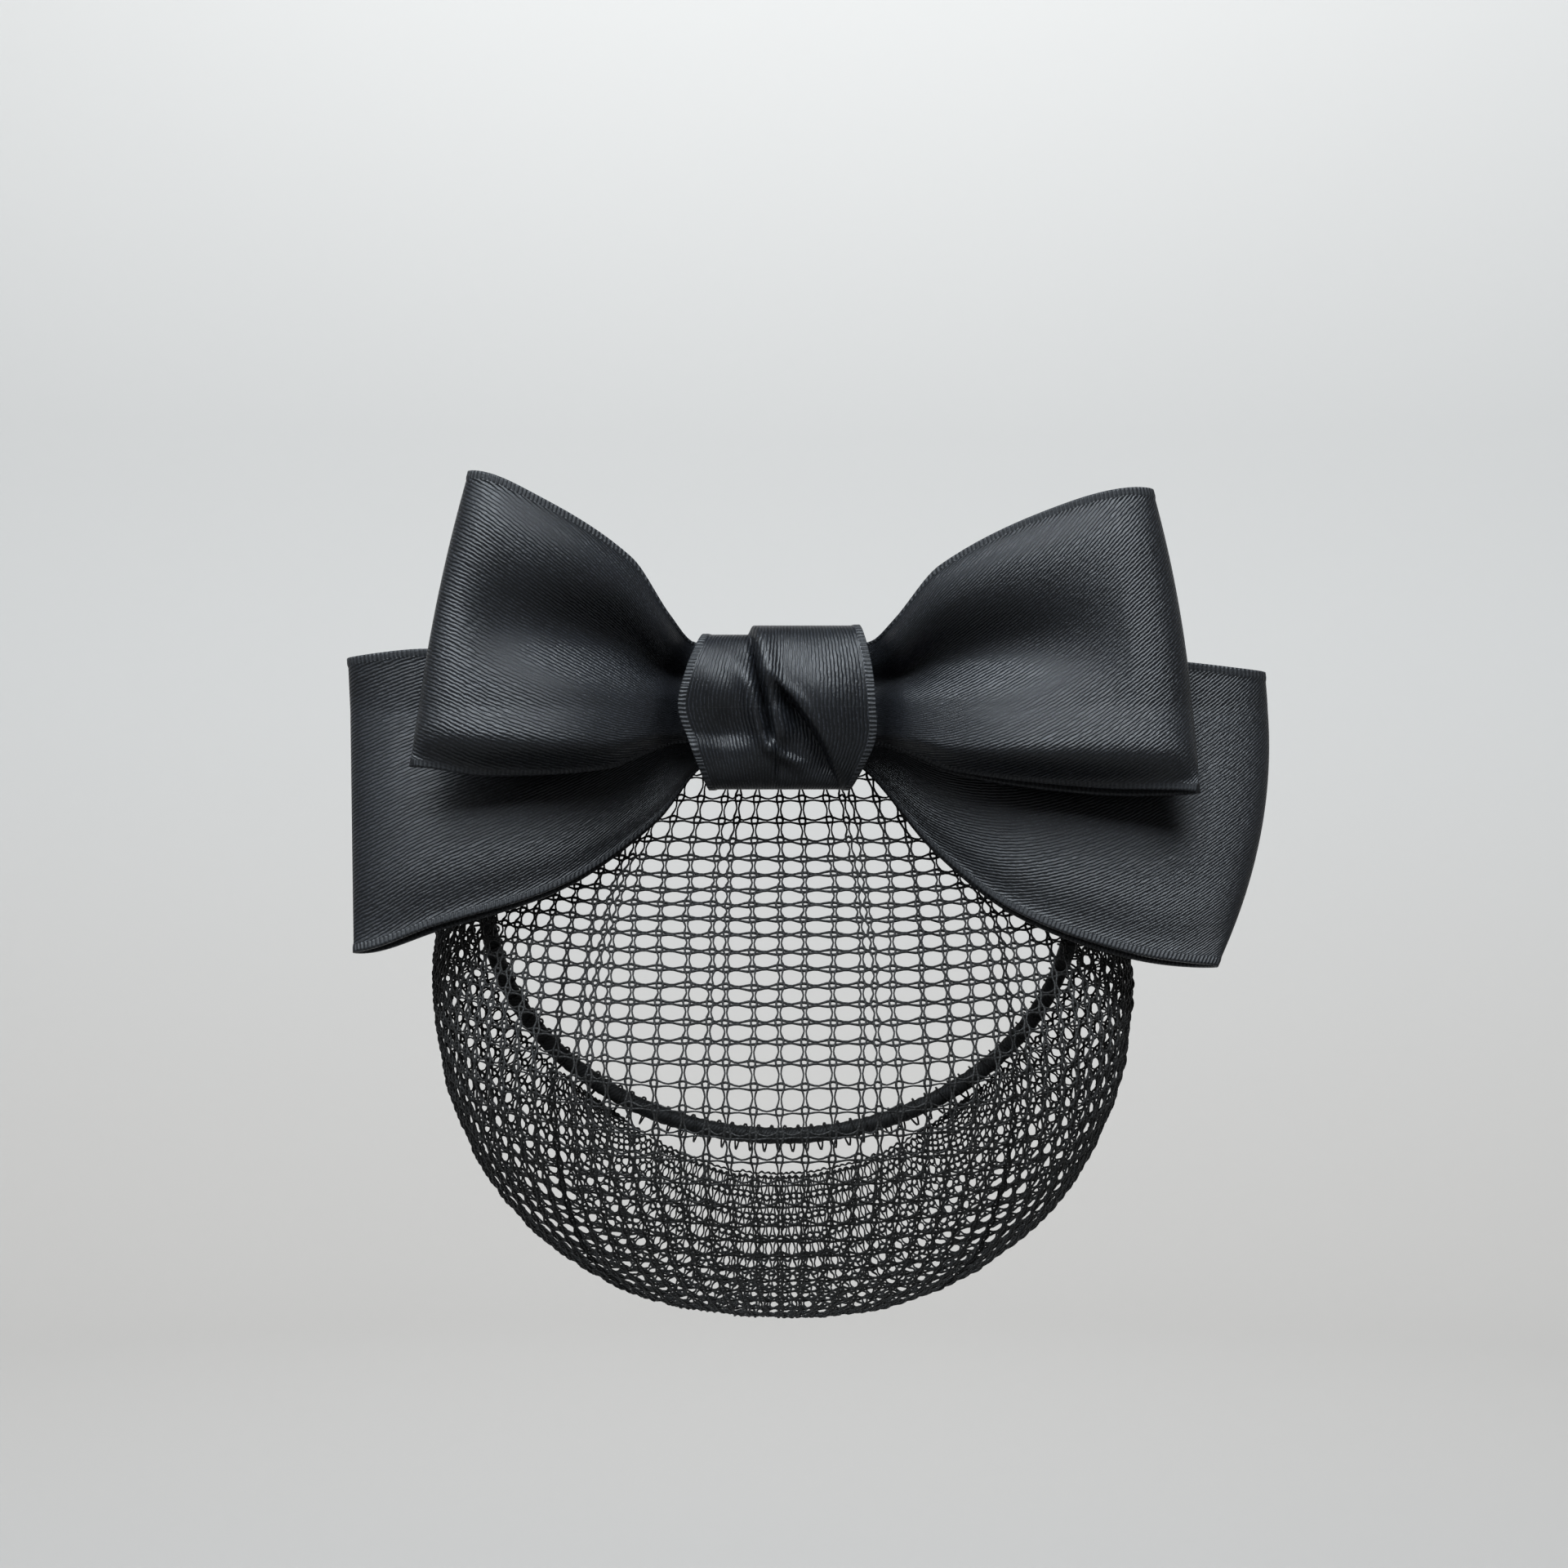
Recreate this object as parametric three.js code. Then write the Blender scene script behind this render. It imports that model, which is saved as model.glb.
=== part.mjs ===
// A bun net that hangs from a double ribbon bow on a hair clip, in millimetres with +Z up.
// The origin is the middle of the clip's gap, where the hair is held. +Y points to the head and
// -Y to the viewer, so the bow and the net's bulge lie at negative y.
import * as THREE from 'three';
import { ParametricGeometry } from 'three/addons/geometries/ParametricGeometry.js';
import { mergeVertices } from 'three/addons/utils/BufferGeometryUtils.js';

// Clearance between two pieces that touch on the real object
const PIECE_GAP = 0.3;

// Hair clip, a closed loop of spring steel
const CLIP_LENGTH = 74;
const CLIP_HEIGHT = 8;
const CLIP_WALL = 1;
const CLIP_HAIR_GAP = 6;
const CLIP_ARCH = 2.5;

// Satin ribbon of the two bows
const RIBBON_WIDTH = 39.5;
const RIBBON_WALL = 1;
const LOOP_DEPTH = 8.5;
const UPPER_LEFT_LENGTH = 43.5;
const UPPER_RIGHT_LENGTH = 50.5;
const LOWER_LEFT_LENGTH = 56.1;
const LOWER_RIGHT_LENGTH = 60.2;

// How far the loops come forward of the waist, and how far they lean for each millimetre of height
const LOOP_FORWARD = 5;
const UPPER_LEAN = 0.1;
const LOWER_LEAN = 0.33;
const LOOP_RISE = 14;
const BOW_SPREAD = 0.8;
const FOLD_BLUNTNESS = 8;

// Pleats that gather the ribbons at the waist
const PLEAT_DEPTH = 2.4;
const PLEAT_PITCH = 14;
const PLEAT_CREST = -2.2;
const PLEAT_REACH = 13;
const WAIST_HEIGHT = 19.4;

// Ribbon wound round the waist
const KNOT_WIDTH = 25.8;
const KNOT_WALL = 1.2;
const KNOT_PUFF = 1.8;
const KNOT_FRONT_SQUARENESS = 2.7;
const KNOT_BACK_SQUARENESS = 4.5;
const KNOT_SLACK = 2.6;
const KNOT_RAISE = 0.35;

// Net pouch
const NET_WALL = 1.2;
const NET_HEM = 1.3;
const NET_STRAND = 2;
const NET_DROP = 78;
const NET_REACH = 33;
const NET_POINT = 0.85;
const NET_COLUMNS = 10;
const NET_ROWS = 12;
const CELL_ZIGZAG = 0.16;

// Elastic cord round the net's mouth, an ellipse in a plane that tilts away from the viewer
const MOUTH_HALF_WIDTH = 40.5;
const MOUTH_HALF_HEIGHT = 34;
const MOUTH_CENTRE_DROP = 25;
const MOUTH_TILT = 0.25;
const ELASTIC_DIAMETER = 2.4;
const ELASTIC_TUCK = 0.7;

// Sections of each loop from the waist out: reach is a share of the loop's length, top and bottom are
// the selvages' heights as shares of the ribbon's width, and depth is a share of LOOP_DEPTH.
const LOOPS = {
  upperLeft: {
    side: -1, length: UPPER_LEFT_LENGTH, slant: -0.158, bow: 0.02, backDrop: 0,
    sections: [
      { reach: 0, top: 0.205, bottom: -0.1, depth: 0 },
      { reach: 0.29, top: 0.228, bottom: -0.108, depth: 0.05 },
      { reach: 0.5, top: 0.516, bottom: -0.2, depth: 0.7 },
      { reach: 0.8, top: 0.704, bottom: -0.218, depth: 1 },
      { reach: 1, top: 0.775, bottom: -0.19, depth: 1.1 },
    ],
    dents: [
      { knot: 0.56, end: 0.45, reach: 1, depth: 0.6, spread: 0.17 },
      { knot: 0, end: 0, reach: 1, depth: 0.4, spread: 0.12 },
      { knot: 1, end: 1, reach: 1, depth: 0.25, spread: 0.12 },
    ],
  },
  upperRight: {
    side: 1, length: UPPER_RIGHT_LENGTH, slant: -0.101, bow: 0.025, backDrop: -0.03,
    sections: [
      { reach: 0, top: 0.205, bottom: -0.1, depth: 0 },
      { reach: 0.25, top: 0.228, bottom: -0.112, depth: 0.05 },
      { reach: 0.45, top: 0.488, bottom: -0.21, depth: 0.7 },
      { reach: 0.75, top: 0.66, bottom: -0.256, depth: 1 },
      { reach: 1, top: 0.727, bottom: -0.258, depth: 1.1 },
    ],
    dents: [
      { knot: 0.56, end: 0.5, reach: 0.88, depth: 0.6, spread: 0.17 },
      { knot: 0, end: 0, reach: 1, depth: 0.4, spread: 0.14 },
      { knot: 1, end: 1, reach: 1, depth: 0.25, spread: 0.12 },
    ],
  },
  lowerLeft: {
    side: -1, length: LOWER_LEFT_LENGTH, slant: 0.043, bow: 0, backDrop: -0.03,
    sections: [
      { reach: 0, top: 0.12, bottom: -0.16, depth: 0 },
      { reach: 0.18, top: 0.13, bottom: -0.175, depth: 0.03 },
      { reach: 0.3, top: 0.15, bottom: -0.367, depth: 0.12 },
      { reach: 0.5, top: 0.19, bottom: -0.567, depth: 0.38 },
      { reach: 0.82, top: 0.205, bottom: -0.71, depth: 0.75 },
      { reach: 1, top: 0.19, bottom: -0.782, depth: 0.95 },
    ],
    dents: [
      { knot: 0.66, end: 0.62, reach: 0.9, depth: 0.4, spread: 0.16 },
      { knot: 0, end: 0, reach: 1, depth: 0.35, spread: 0.15 },
    ],
  },
  lowerRight: {
    side: 1, length: LOWER_RIGHT_LENGTH, slant: 0.133, bow: 0.05, backDrop: -0.03,
    sections: [
      { reach: 0, top: 0.12, bottom: -0.16, depth: 0 },
      { reach: 0.18, top: 0.128, bottom: -0.175, depth: 0.03 },
      { reach: 0.36, top: 0.16, bottom: -0.46, depth: 0.18 },
      { reach: 0.53, top: 0.172, bottom: -0.653, depth: 0.42 },
      { reach: 0.79, top: 0.165, bottom: -0.79, depth: 0.75 },
      { reach: 1, top: 0.142, bottom: -0.825, depth: 0.95 },
    ],
    dents: [
      { knot: 0.66, end: 0.62, reach: 0.9, depth: 0.4, spread: 0.16 },
      { knot: 0, end: 0, reach: 1, depth: 0.35, spread: 0.15 },
    ],
  },
};

// Sections of the knot by the angle from straight ahead, up and over: left and right are the ribbon's
// selvages as shares of half its width.
const KNOT_SECTIONS = [
  { angle: -180, left: -0.66, right: 0.64 },
  { angle: -90, left: -0.72, right: 0.7 },
  { angle: -40, left: -0.92, right: 0.95 },
  { angle: 0, left: -1.03, right: 0.96 },
  { angle: 45, left: -0.95, right: 0.92 },
  { angle: 90, left: -0.78, right: 0.8 },
  { angle: 180, left: -0.66, right: 0.64 },
];

// Puffs between the knot's creases: at and lean place the ridge across the ribbon, as shares of half its
// width at the middle and per half height, and height is a share of KNOT_PUFF.
const KNOT_PUFFS = [
  { at: -0.5, lean: -0.22, spread: 0.26, height: 0.8 },
  { at: 0.42, lean: -0.12, spread: 0.36, height: 1 },
];

// Rows of the net from the clip to its lower back edge: down and out place the row's middle as shares of
// NET_DROP and NET_REACH, edge is the mouth's angle in degrees from its lowest point, wrap is how far
// round the row goes, and flat is how straight its middle is.
const NET_SECTIONS = [
  { row: 0, down: 0, out: 0, edge: 126, wrap: 90, flat: 1 },
  { row: 0.1, down: 0.105, out: 0.01, edge: 118, wrap: 96, flat: 1.1 },
  { row: 0.2, down: 0.21, out: 0.13, edge: 106, wrap: 103, flat: 1.2 },
  { row: 0.35, down: 0.37, out: 0.58, edge: 89, wrap: 111, flat: 1.35 },
  { row: 0.5, down: 0.56, out: 0.97, edge: 73, wrap: 117, flat: 1.5 },
  { row: 0.65, down: 0.76, out: 0.93, edge: 60, wrap: 120, flat: 1.6 },
  { row: 0.78, down: 0.92, out: 0.56, edge: 50, wrap: 117, flat: 1.5 },
  { row: 0.88, down: 0.99, out: 0.16, edge: 44, wrap: 98, flat: 1.35 },
  { row: 0.95, down: 0.93, out: -0.26, edge: 39, wrap: 65, flat: 1.1 },
  { row: 1, down: 0.79, out: -0.45, edge: 35, wrap: 35, flat: 1 },
];

// Gathers that run down the net from under the knot, as shares of the row's width from its middle
const NET_GATHERS = [
  { at: 0.18, height: 1.6, spread: 0.07 },
  { at: -0.24, height: 1.2, spread: 0.08 },
];
const GATHER_REACH = 0.55;

const LEFT_FULLNESS = 1;
const RIGHT_FULLNESS = 1.02;

// Places across the layers at the waist, worked out from the clip forward
const plateFront = -CLIP_HAIR_GAP / 2 - CLIP_WALL;
const netHemY = plateFront - PIECE_GAP - NET_WALL / 2;
const knotBackOuter = netHemY - NET_WALL / 2 - PIECE_GAP;
const knotBackInner = knotBackOuter - KNOT_WALL;
const pleatSlope = Math.PI * PLEAT_DEPTH / PLEAT_PITCH;
const layerStep = (RIBBON_WALL + PIECE_GAP) * Math.hypot(1, pleatSlope);
const lowerBackLayer = knotBackInner - PIECE_GAP - RIBBON_WALL / 2;
const betweenBows = lowerBackLayer - 1.5 * layerStep;
const upperFrontLayer = lowerBackLayer - 3 * layerStep;
const knotFrontInner = upperFrontLayer - PLEAT_DEPTH - RIBBON_WALL / 2 - PIECE_GAP - KNOT_SLACK;
const netHemTop = -CLIP_HEIGHT / 2 + NET_HEM;

// Value of one column at a place in a table, on a smooth curve through its rows
function readTable(rows, placeName, columnName, place) {
  const last = rows.length - 1;
  let index = 0;
  while (index < last - 1 && place > rows[index + 1][placeName]) {
    index += 1;
  }
  const slopeAt = (row) => {
    if (row === 0 || row === last) {
      return 0;
    }
    const rise = rows[row + 1][columnName] - rows[row - 1][columnName];
    return rise / (rows[row + 1][placeName] - rows[row - 1][placeName]);
  };
  const from = rows[index];
  const to = rows[index + 1];
  const span = to[placeName] - from[placeName];
  const t = THREE.MathUtils.clamp((place - from[placeName]) / span, 0, 1);
  const rest = 1 - t;
  return from[columnName] * rest * rest * (1 + 2 * t)
    + to[columnName] * t * t * (3 - 2 * t)
    + slopeAt(index) * span * t * rest * rest
    - slopeAt(index + 1) * span * t * t * rest;
}

// Height of a smooth round ridge at a distance from its crest
function ridge(distance, spread) {
  return Math.exp(-((distance / spread) ** 2));
}

// Unit normal of a surface given as a function of along and across
function surfaceNormal(surface, along, across) {
  const step = 1e-3;
  const before = surface(along - step, across);
  const after = surface(along + step, across);
  const low = surface(along, across - step);
  const high = surface(along, across + step);
  return after.sub(before).cross(high.sub(low)).normalize();
}

// Closed wall of one thickness on a band that closes on itself along its length
function bandGeometry(surface, alongSteps, acrossSteps, wall) {
  const around = 2 * (acrossSteps + 1);
  const wallPoint = (u, v, target) => {
    const station = Math.round(u * around) % around;
    const onFront = station <= acrossSteps;
    const across = (onFront ? acrossSteps - station : station - acrossSteps - 1) / acrossSteps;
    const along = Math.round(v * alongSteps) % alongSteps / alongSteps;
    const offset = onFront ? wall / 2 : -wall / 2;
    target.copy(surface(along, across)).addScaledVector(surfaceNormal(surface, along, across), offset);
  };
  return weld(new ParametricGeometry(wallPoint, around, alongSteps));
}

// Merges the vertices that share a place, so that the mesh is one closed skin
function weld(geometry) {
  geometry.deleteAttribute('normal');
  geometry.deleteAttribute('uv');
  return mergeVertices(geometry, 1e-4);
}

// Depth of the pleats that all ribbon layers share at the waist
function waistPleat(x, z) {
  const wave = 0.5 + 0.5 * Math.cos(2 * Math.PI * (z - PLEAT_CREST) / PLEAT_PITCH);
  const window = Math.max(0, 1 - (2 * z / WAIST_HEIGHT) ** 2);
  return PLEAT_DEPTH * wave * window * ridge(x, PLEAT_REACH);
}

// How far a place is out of the knot's hold, from 0 at the waist to 1 out in the loops
function freedom(x) {
  return 1 - ridge(Math.max(0, Math.abs(x) - KNOT_WIDTH / 3), LOOP_RISE);
}

// Middle surface between the two bows, from the waist out
function bowPlane(x, z) {
  const lean = z > 0 ? UPPER_LEAN : LOWER_LEAN;
  return betweenBows + freedom(x) * (lean * z - LOOP_FORWARD);
}

// Point on the middle of a bow's ribbon. along runs round the whole band: the right loop's front and
// back, then the left loop's back and front. facing is -1 for the bow in front and 1 for the one behind.
function bowPoint(left, right, facing, along, across) {
  const angle = 2 * Math.PI * along;
  const loop = Math.sin(angle) >= 0 ? right : left;
  const reach = Math.abs(Math.sin(angle));
  const front = Math.sign(Math.cos(angle)) * Math.sqrt(Math.max(0, 1 - reach ** FOLD_BLUNTNESS));
  const section = (name) => readTable(loop.sections, 'reach', name, reach);

  const centred = 2 * across - 1;
  const fold = loop.length * (1 + loop.slant * centred / 2 + loop.bow * (1 - centred * centred));
  const x = loop.side * fold * reach;
  const lowered = loop.backDrop * (1 - front) / 2 * reach;
  const height = THREE.MathUtils.lerp(section('bottom'), section('top'), across) + lowered;
  const z = RIBBON_WIDTH * height;

  const depth = layerStep + LOOP_DEPTH * section('depth');
  const nearShare = (1 - facing * front) / 2;
  const away = layerStep / 2 + BOW_SPREAD * freedom(x) + depth * nearShare;
  let y = bowPlane(x, z) + facing * away - waistPleat(x, z);
  if (front > 0) {
    y += depth * front * dentShare(loop, reach, across);
  }
  return new THREE.Vector3(x, y, z);
}

// How deep the folds press into a loop's front, as a share of the loop's depth there
function dentShare(loop, reach, across) {
  return loop.dents.reduce((sum, dent) => {
    const travelled = Math.min(1, reach / dent.reach);
    const line = THREE.MathUtils.lerp(dent.knot, dent.end, travelled);
    const fade = Math.max(0, Math.sin(Math.PI * travelled));
    return sum + dent.depth * fade * ridge(across - line, dent.spread);
  }, 0);
}

function bowGeometry(left, right, facing, alongSteps, acrossSteps) {
  const surface = (along, across) => bowPoint(left, right, facing, along, across);
  return bandGeometry(surface, alongSteps, acrossSteps, RIBBON_WALL);
}

// Point on the middle of the knot's ribbon. along runs from straight ahead, up and over to the back.
function knotPoint(along, across) {
  const turn = 2 * Math.PI * along;
  const depthRadius = (knotBackOuter - knotFrontInner) / 2;
  const heightRadius = WAIST_HEIGHT / 2 + PIECE_GAP + KNOT_WALL / 2;
  const ahead = Math.cos(turn);
  const up = Math.sin(turn);
  const power = ahead > 0 ? KNOT_FRONT_SQUARENESS : KNOT_BACK_SQUARENESS;
  const radius = (Math.abs(ahead / depthRadius) ** power + Math.abs(up / heightRadius) ** power) ** (-1 / power);

  const degrees = THREE.MathUtils.euclideanModulo(360 * along + 180, 360) - 180;
  const left = readTable(KNOT_SECTIONS, 'angle', 'left', degrees);
  const right = readTable(KNOT_SECTIONS, 'angle', 'right', degrees);
  const share = THREE.MathUtils.lerp(left, right, across);
  const frontness = Math.max(0, ahead) ** 0.6;
  const puff = KNOT_PUFFS.reduce(
    (sum, row) => sum + row.height * ridge(share - row.at - row.lean * up, row.spread), 0);

  const middle = (knotBackOuter + knotFrontInner) / 2 - KNOT_WALL / 2;
  const y = middle - ahead * (radius + KNOT_PUFF * puff * frontness);
  return new THREE.Vector3(KNOT_WIDTH / 2 * share, y, up * radius + KNOT_RAISE);
}

// Outline of the clip's loop seen from above, at one distance from its middle line
function clipOutline(radius) {
  const straight = CLIP_LENGTH / 2 - CLIP_HAIR_GAP / 2 - CLIP_WALL;
  const straightSteps = 10;
  const endSteps = 6;
  const points = [];
  for (const side of [1, -1]) {
    for (let step = 0; step < straightSteps; step += 1) {
      const x = side * straight * (2 * step / straightSteps - 1);
      points.push([x, -side * radius]);
    }
    for (let step = 0; step < endSteps; step += 1) {
      const angle = Math.PI * (step / endSteps - 0.5);
      points.push([side * (straight + radius * Math.cos(angle)), side * radius * Math.sin(angle)]);
    }
  }
  return points.map(([x, y]) => new THREE.Vector2(x, y + clipBend(x)));
}

// How far the clip curves towards the head at a place along it
function clipBend(x) {
  return CLIP_ARCH * (2 * x / CLIP_LENGTH) ** 2;
}

function clipGeometry() {
  const shape = new THREE.Shape(clipOutline(CLIP_HAIR_GAP / 2 + CLIP_WALL));
  shape.holes.push(new THREE.Path(clipOutline(CLIP_HAIR_GAP / 2)));
  const geometry = new THREE.ExtrudeGeometry(shape, { depth: CLIP_HEIGHT, bevelEnabled: false });
  geometry.translate(0, 0, -CLIP_HEIGHT / 2);
  return geometry;
}

// Point on the mouth's ellipse at an angle from its lowest point, some way outside the elastic's middle
function mouthPoint(angle, outside) {
  const x = (MOUTH_HALF_WIDTH + outside) * Math.sin(angle);
  const z = -MOUTH_CENTRE_DROP - (MOUTH_HALF_HEIGHT + outside) * Math.cos(angle);
  return new THREE.Vector3(x, mouthDepth(z), z);
}

function mouthDepth(z) {
  return -CLIP_HEIGHT / 8 - MOUTH_TILT * (z + CLIP_HEIGHT / 2);
}

// Elastic cord from one end of the clip down round the mouth to the other end
function elasticGeometry() {
  const endHeight = -CLIP_HEIGHT / 2 - PIECE_GAP - ELASTIC_TUCK;
  const endAngle = Math.acos((-MOUTH_CENTRE_DROP - endHeight) / MOUTH_HALF_HEIGHT);
  const points = [];
  const pointCount = 24;
  for (let index = 0; index <= pointCount; index += 1) {
    points.push(mouthPoint(endAngle * (2 * index / pointCount - 1), 0));
  }
  const section = new THREE.Shape();
  section.absarc(0, 0, ELASTIC_DIAMETER / 2, 0, 2 * Math.PI);
  const path = new THREE.CatmullRomCurve3(points);
  return new THREE.ExtrudeGeometry(section, { steps: 48, curveSegments: 4, bevelEnabled: false, extrudePath: path });
}

// Point on the middle of the net. row runs from the clip (0) to the lower back edge (1), and across
// from the left edge (-1) to the right edge (1).
function netPoint(row, across) {
  const section = (name) => readTable(NET_SECTIONS, 'row', name, row);
  const outside = ELASTIC_DIAMETER / 2 + 1.5 * PIECE_GAP + NET_WALL / 2;
  const edge = mouthPoint(THREE.MathUtils.degToRad(section('edge')), outside);
  const beforePlate = netHemY + clipBend(edge.x) - edge.y;
  edge.y += beforePlate * Math.max(0, 1 - row) ** 4;
  const wrap = THREE.MathUtils.degToRad(section('wrap'));
  const turn = wrap * Math.abs(across);
  const round = (1 - Math.cos(turn)) / (1 - Math.cos(wrap));
  const rise = round ** section('flat');

  const fullness = across < 0 ? LEFT_FULLNESS : RIGHT_FULLNESS;
  const bulge = THREE.MathUtils.lerp(1, fullness, Math.sin(Math.PI * Math.abs(across)));
  const x = Math.sign(across) * edge.x / Math.sin(wrap) * Math.sin(turn) * bulge;

  const middleY = netHemY - NET_REACH * section('out');
  const middleZ = netHemTop - NET_DROP * section('down');
  let y = THREE.MathUtils.lerp(middleY, edge.y, round ** NET_POINT);
  const z = THREE.MathUtils.lerp(middleZ, edge.z, rise);
  const gatherFade = Math.sin(Math.PI * Math.min(1, row / GATHER_REACH));
  for (const gather of NET_GATHERS) {
    y -= gather.height * gatherFade * ridge(across - gather.at, gather.spread);
  }
  return new THREE.Vector3(x, y, z);
}

// The net's wall with a six-sided hole in every cell. Cells stand in rows that are shifted by half a
// cell, and the half cells at the two sides are left whole.
function netGeometry() {
  const halfColumns = 2 * NET_COLUMNS;
  const corner = (row, column) => {
    const atEnd = row === 0 || row === NET_ROWS;
    const shift = atEnd ? 0 : ((row + column) % 2 === 0 ? CELL_ZIGZAG : -CELL_ZIGZAG);
    return [(row + shift) / NET_ROWS, 2 * column / halfColumns - 1];
  };
  const cellPitch = 2 * MOUTH_HALF_WIDTH / NET_COLUMNS;
  const holeShare = 1 - NET_STRAND / cellPitch;
  const triangles = [];
  const front = ([row, across]) => netWallPoint(row, across, 1);
  const back = ([row, across]) => netWallPoint(row, across, -1);
  const quad = (a, b, c, d) => triangles.push(a, b, c, a, c, d);

  for (let row = 0; row < NET_ROWS; row += 1) {
    for (let column = 0; column <= halfColumns; column += 1) {
      if ((row + column) % 2 === 0) {
        continue;
      }
      const from = Math.max(0, column - 1);
      const to = Math.min(halfColumns, column + 1);
      const outline = [];
      for (let at = from; at <= to; at += 1) {
        outline.push(corner(row, at));
      }
      for (let at = to; at >= from; at -= 1) {
        outline.push(corner(row + 1, at));
      }
      const isWhole = to - from === 2;
      if (isWhole) {
        const middle = [(row + 0.5) / NET_ROWS, 2 * column / halfColumns - 1];
        const hole = outline.map(([r, a]) => [
          THREE.MathUtils.lerp(middle[0], r, holeShare),
          THREE.MathUtils.lerp(middle[1], a, holeShare),
        ]);
        outline.forEach((point, index) => {
          const next = (index + 1) % outline.length;
          quad(front(point), front(hole[index]), front(hole[next]), front(outline[next]));
          quad(back(point), back(outline[next]), back(hole[next]), back(hole[index]));
          quad(front(hole[index]), back(hole[index]), back(hole[next]), front(hole[next]));
        });
      } else {
        quad(front(outline[0]), front(outline[3]), front(outline[2]), front(outline[1]));
        quad(back(outline[0]), back(outline[1]), back(outline[2]), back(outline[3]));
      }
      outline.forEach((point, index) => {
        const next = outline[(index + 1) % outline.length];
        const onRim = [0, 1].some((end) => point[0] === end && next[0] === end)
          || [-1, 1].some((end) => point[1] === end && next[1] === end);
        if (onRim) {
          quad(front(point), front(next), back(next), back(point));
        }
      });
    }
  }
  const geometry = new THREE.BufferGeometry().setFromPoints(triangles);
  return mergeVertices(geometry, 1e-4);
}

// Point on the net's front (1) or back (-1) skin
function netWallPoint(row, across, side) {
  const inset = THREE.MathUtils.clamp(row, 0.002, 0.998);
  const insetAcross = THREE.MathUtils.clamp(across, -0.998, 0.998);
  const normal = surfaceNormal(netPoint, inset, insetAcross);
  return netPoint(row, across).addScaledVector(normal, side * NET_WALL / 2);
}

const SATIN = { color: 0x2b2d31, roughness: 0.42, metalness: 0 };
const YARN = { color: 0x131211, roughness: 0.85, metalness: 0 };
const ELASTIC = { color: 0x161616, roughness: 0.8, metalness: 0 };
const STEEL = { color: 0x9c9fa3, roughness: 0.35, metalness: 1 };

function piece(name, geometry, finish) {
  const mesh = new THREE.Mesh(geometry, new THREE.MeshStandardMaterial(finish));
  mesh.name = name;
  return mesh;
}

const bunNet = new THREE.Group();
bunNet.add(
  piece('upper_bow', bowGeometry(LOOPS.upperLeft, LOOPS.upperRight, -1, 44, 10), SATIN),
  piece('lower_bow', bowGeometry(LOOPS.lowerLeft, LOOPS.lowerRight, 1, 44, 8), SATIN),
  piece('knot_wrap', bandGeometry(knotPoint, 32, 12, KNOT_WALL), SATIN),
  piece('hair_clip', clipGeometry(), STEEL),
  piece('net_bag', netGeometry(), YARN),
  piece('mouth_elastic', elasticGeometry(), ELASTIC),
);

export default bunNet;
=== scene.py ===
# %% [markdown]
# # A bun net on a ribbon bow
#
# The object is a black knotted net pouch that hangs from a double satin bow on a hair clip. The CAD
# frame already holds its coarse solids. This lesson dresses them: each ribbon becomes a thin woven
# shell, the knot gets its twist, and the net is tied from real strands of yarn.

import math

import bpy
import numpy as np
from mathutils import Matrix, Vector


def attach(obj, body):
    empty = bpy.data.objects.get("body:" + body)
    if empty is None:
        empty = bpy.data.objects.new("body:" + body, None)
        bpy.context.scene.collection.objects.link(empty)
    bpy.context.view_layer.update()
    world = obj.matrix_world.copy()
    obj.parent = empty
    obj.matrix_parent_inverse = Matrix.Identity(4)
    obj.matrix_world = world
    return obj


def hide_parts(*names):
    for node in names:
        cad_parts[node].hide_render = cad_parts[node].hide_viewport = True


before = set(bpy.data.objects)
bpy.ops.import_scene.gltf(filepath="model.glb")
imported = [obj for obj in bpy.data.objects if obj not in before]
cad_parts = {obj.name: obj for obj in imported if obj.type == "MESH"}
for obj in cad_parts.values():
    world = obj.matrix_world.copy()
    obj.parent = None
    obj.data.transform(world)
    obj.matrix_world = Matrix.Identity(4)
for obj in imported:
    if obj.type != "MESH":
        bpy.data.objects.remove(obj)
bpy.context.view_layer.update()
print("frame nodes:", sorted(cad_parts))

# %% [markdown]
# ## Reading a table smoothly
#
# The CAD source gives each soft form as a short table, such as the height of a ribbon's edges at a few
# places along a loop. A smooth curve through the rows turns the table into cloth. The tables are written
# here again, because the dressed pieces must follow the solids that they stand for. Only the upper loops
# have one row more near the knot, where they swell out a little sooner, and other creases. All sizes are
# in millimetres until a mesh is made.

# %% Tables and ridges
MM = 0.001


def read_table(table, place, column, at):
    """Values of a column at many places, on a smooth curve through the table's rows."""
    places = np.array(table[place], float)
    values = np.array(table[column], float)
    slopes = np.zeros(len(places))
    slopes[1:-1] = (values[2:] - values[:-2]) / (places[2:] - places[:-2])
    index = np.clip(np.searchsorted(places, at, side="left") - 1, 0, len(places) - 2)
    span = places[index + 1] - places[index]
    t = np.clip((at - places[index]) / span, 0, 1)
    rest = 1 - t
    return (
        values[index] * rest * rest * (1 + 2 * t)
        + values[index + 1] * t * t * (3 - 2 * t)
        + slopes[index] * span * t * rest * rest
        - slopes[index + 1] * span * t * t * rest
    )


def ridge(distance, spread):
    """Height of a smooth round ridge at a distance from its crest."""
    return np.exp(-((distance / spread) ** 2))


def mix(a, b, share):
    """The value that lies the given share of the way from a to b."""
    return a + (b - a) * share


def smooth_step(value, low, high):
    """Rises softly from 0 at low to 1 at high."""
    t = np.clip((value - low) / (high - low), 0, 1)
    return t * t * (3 - 2 * t)


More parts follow.
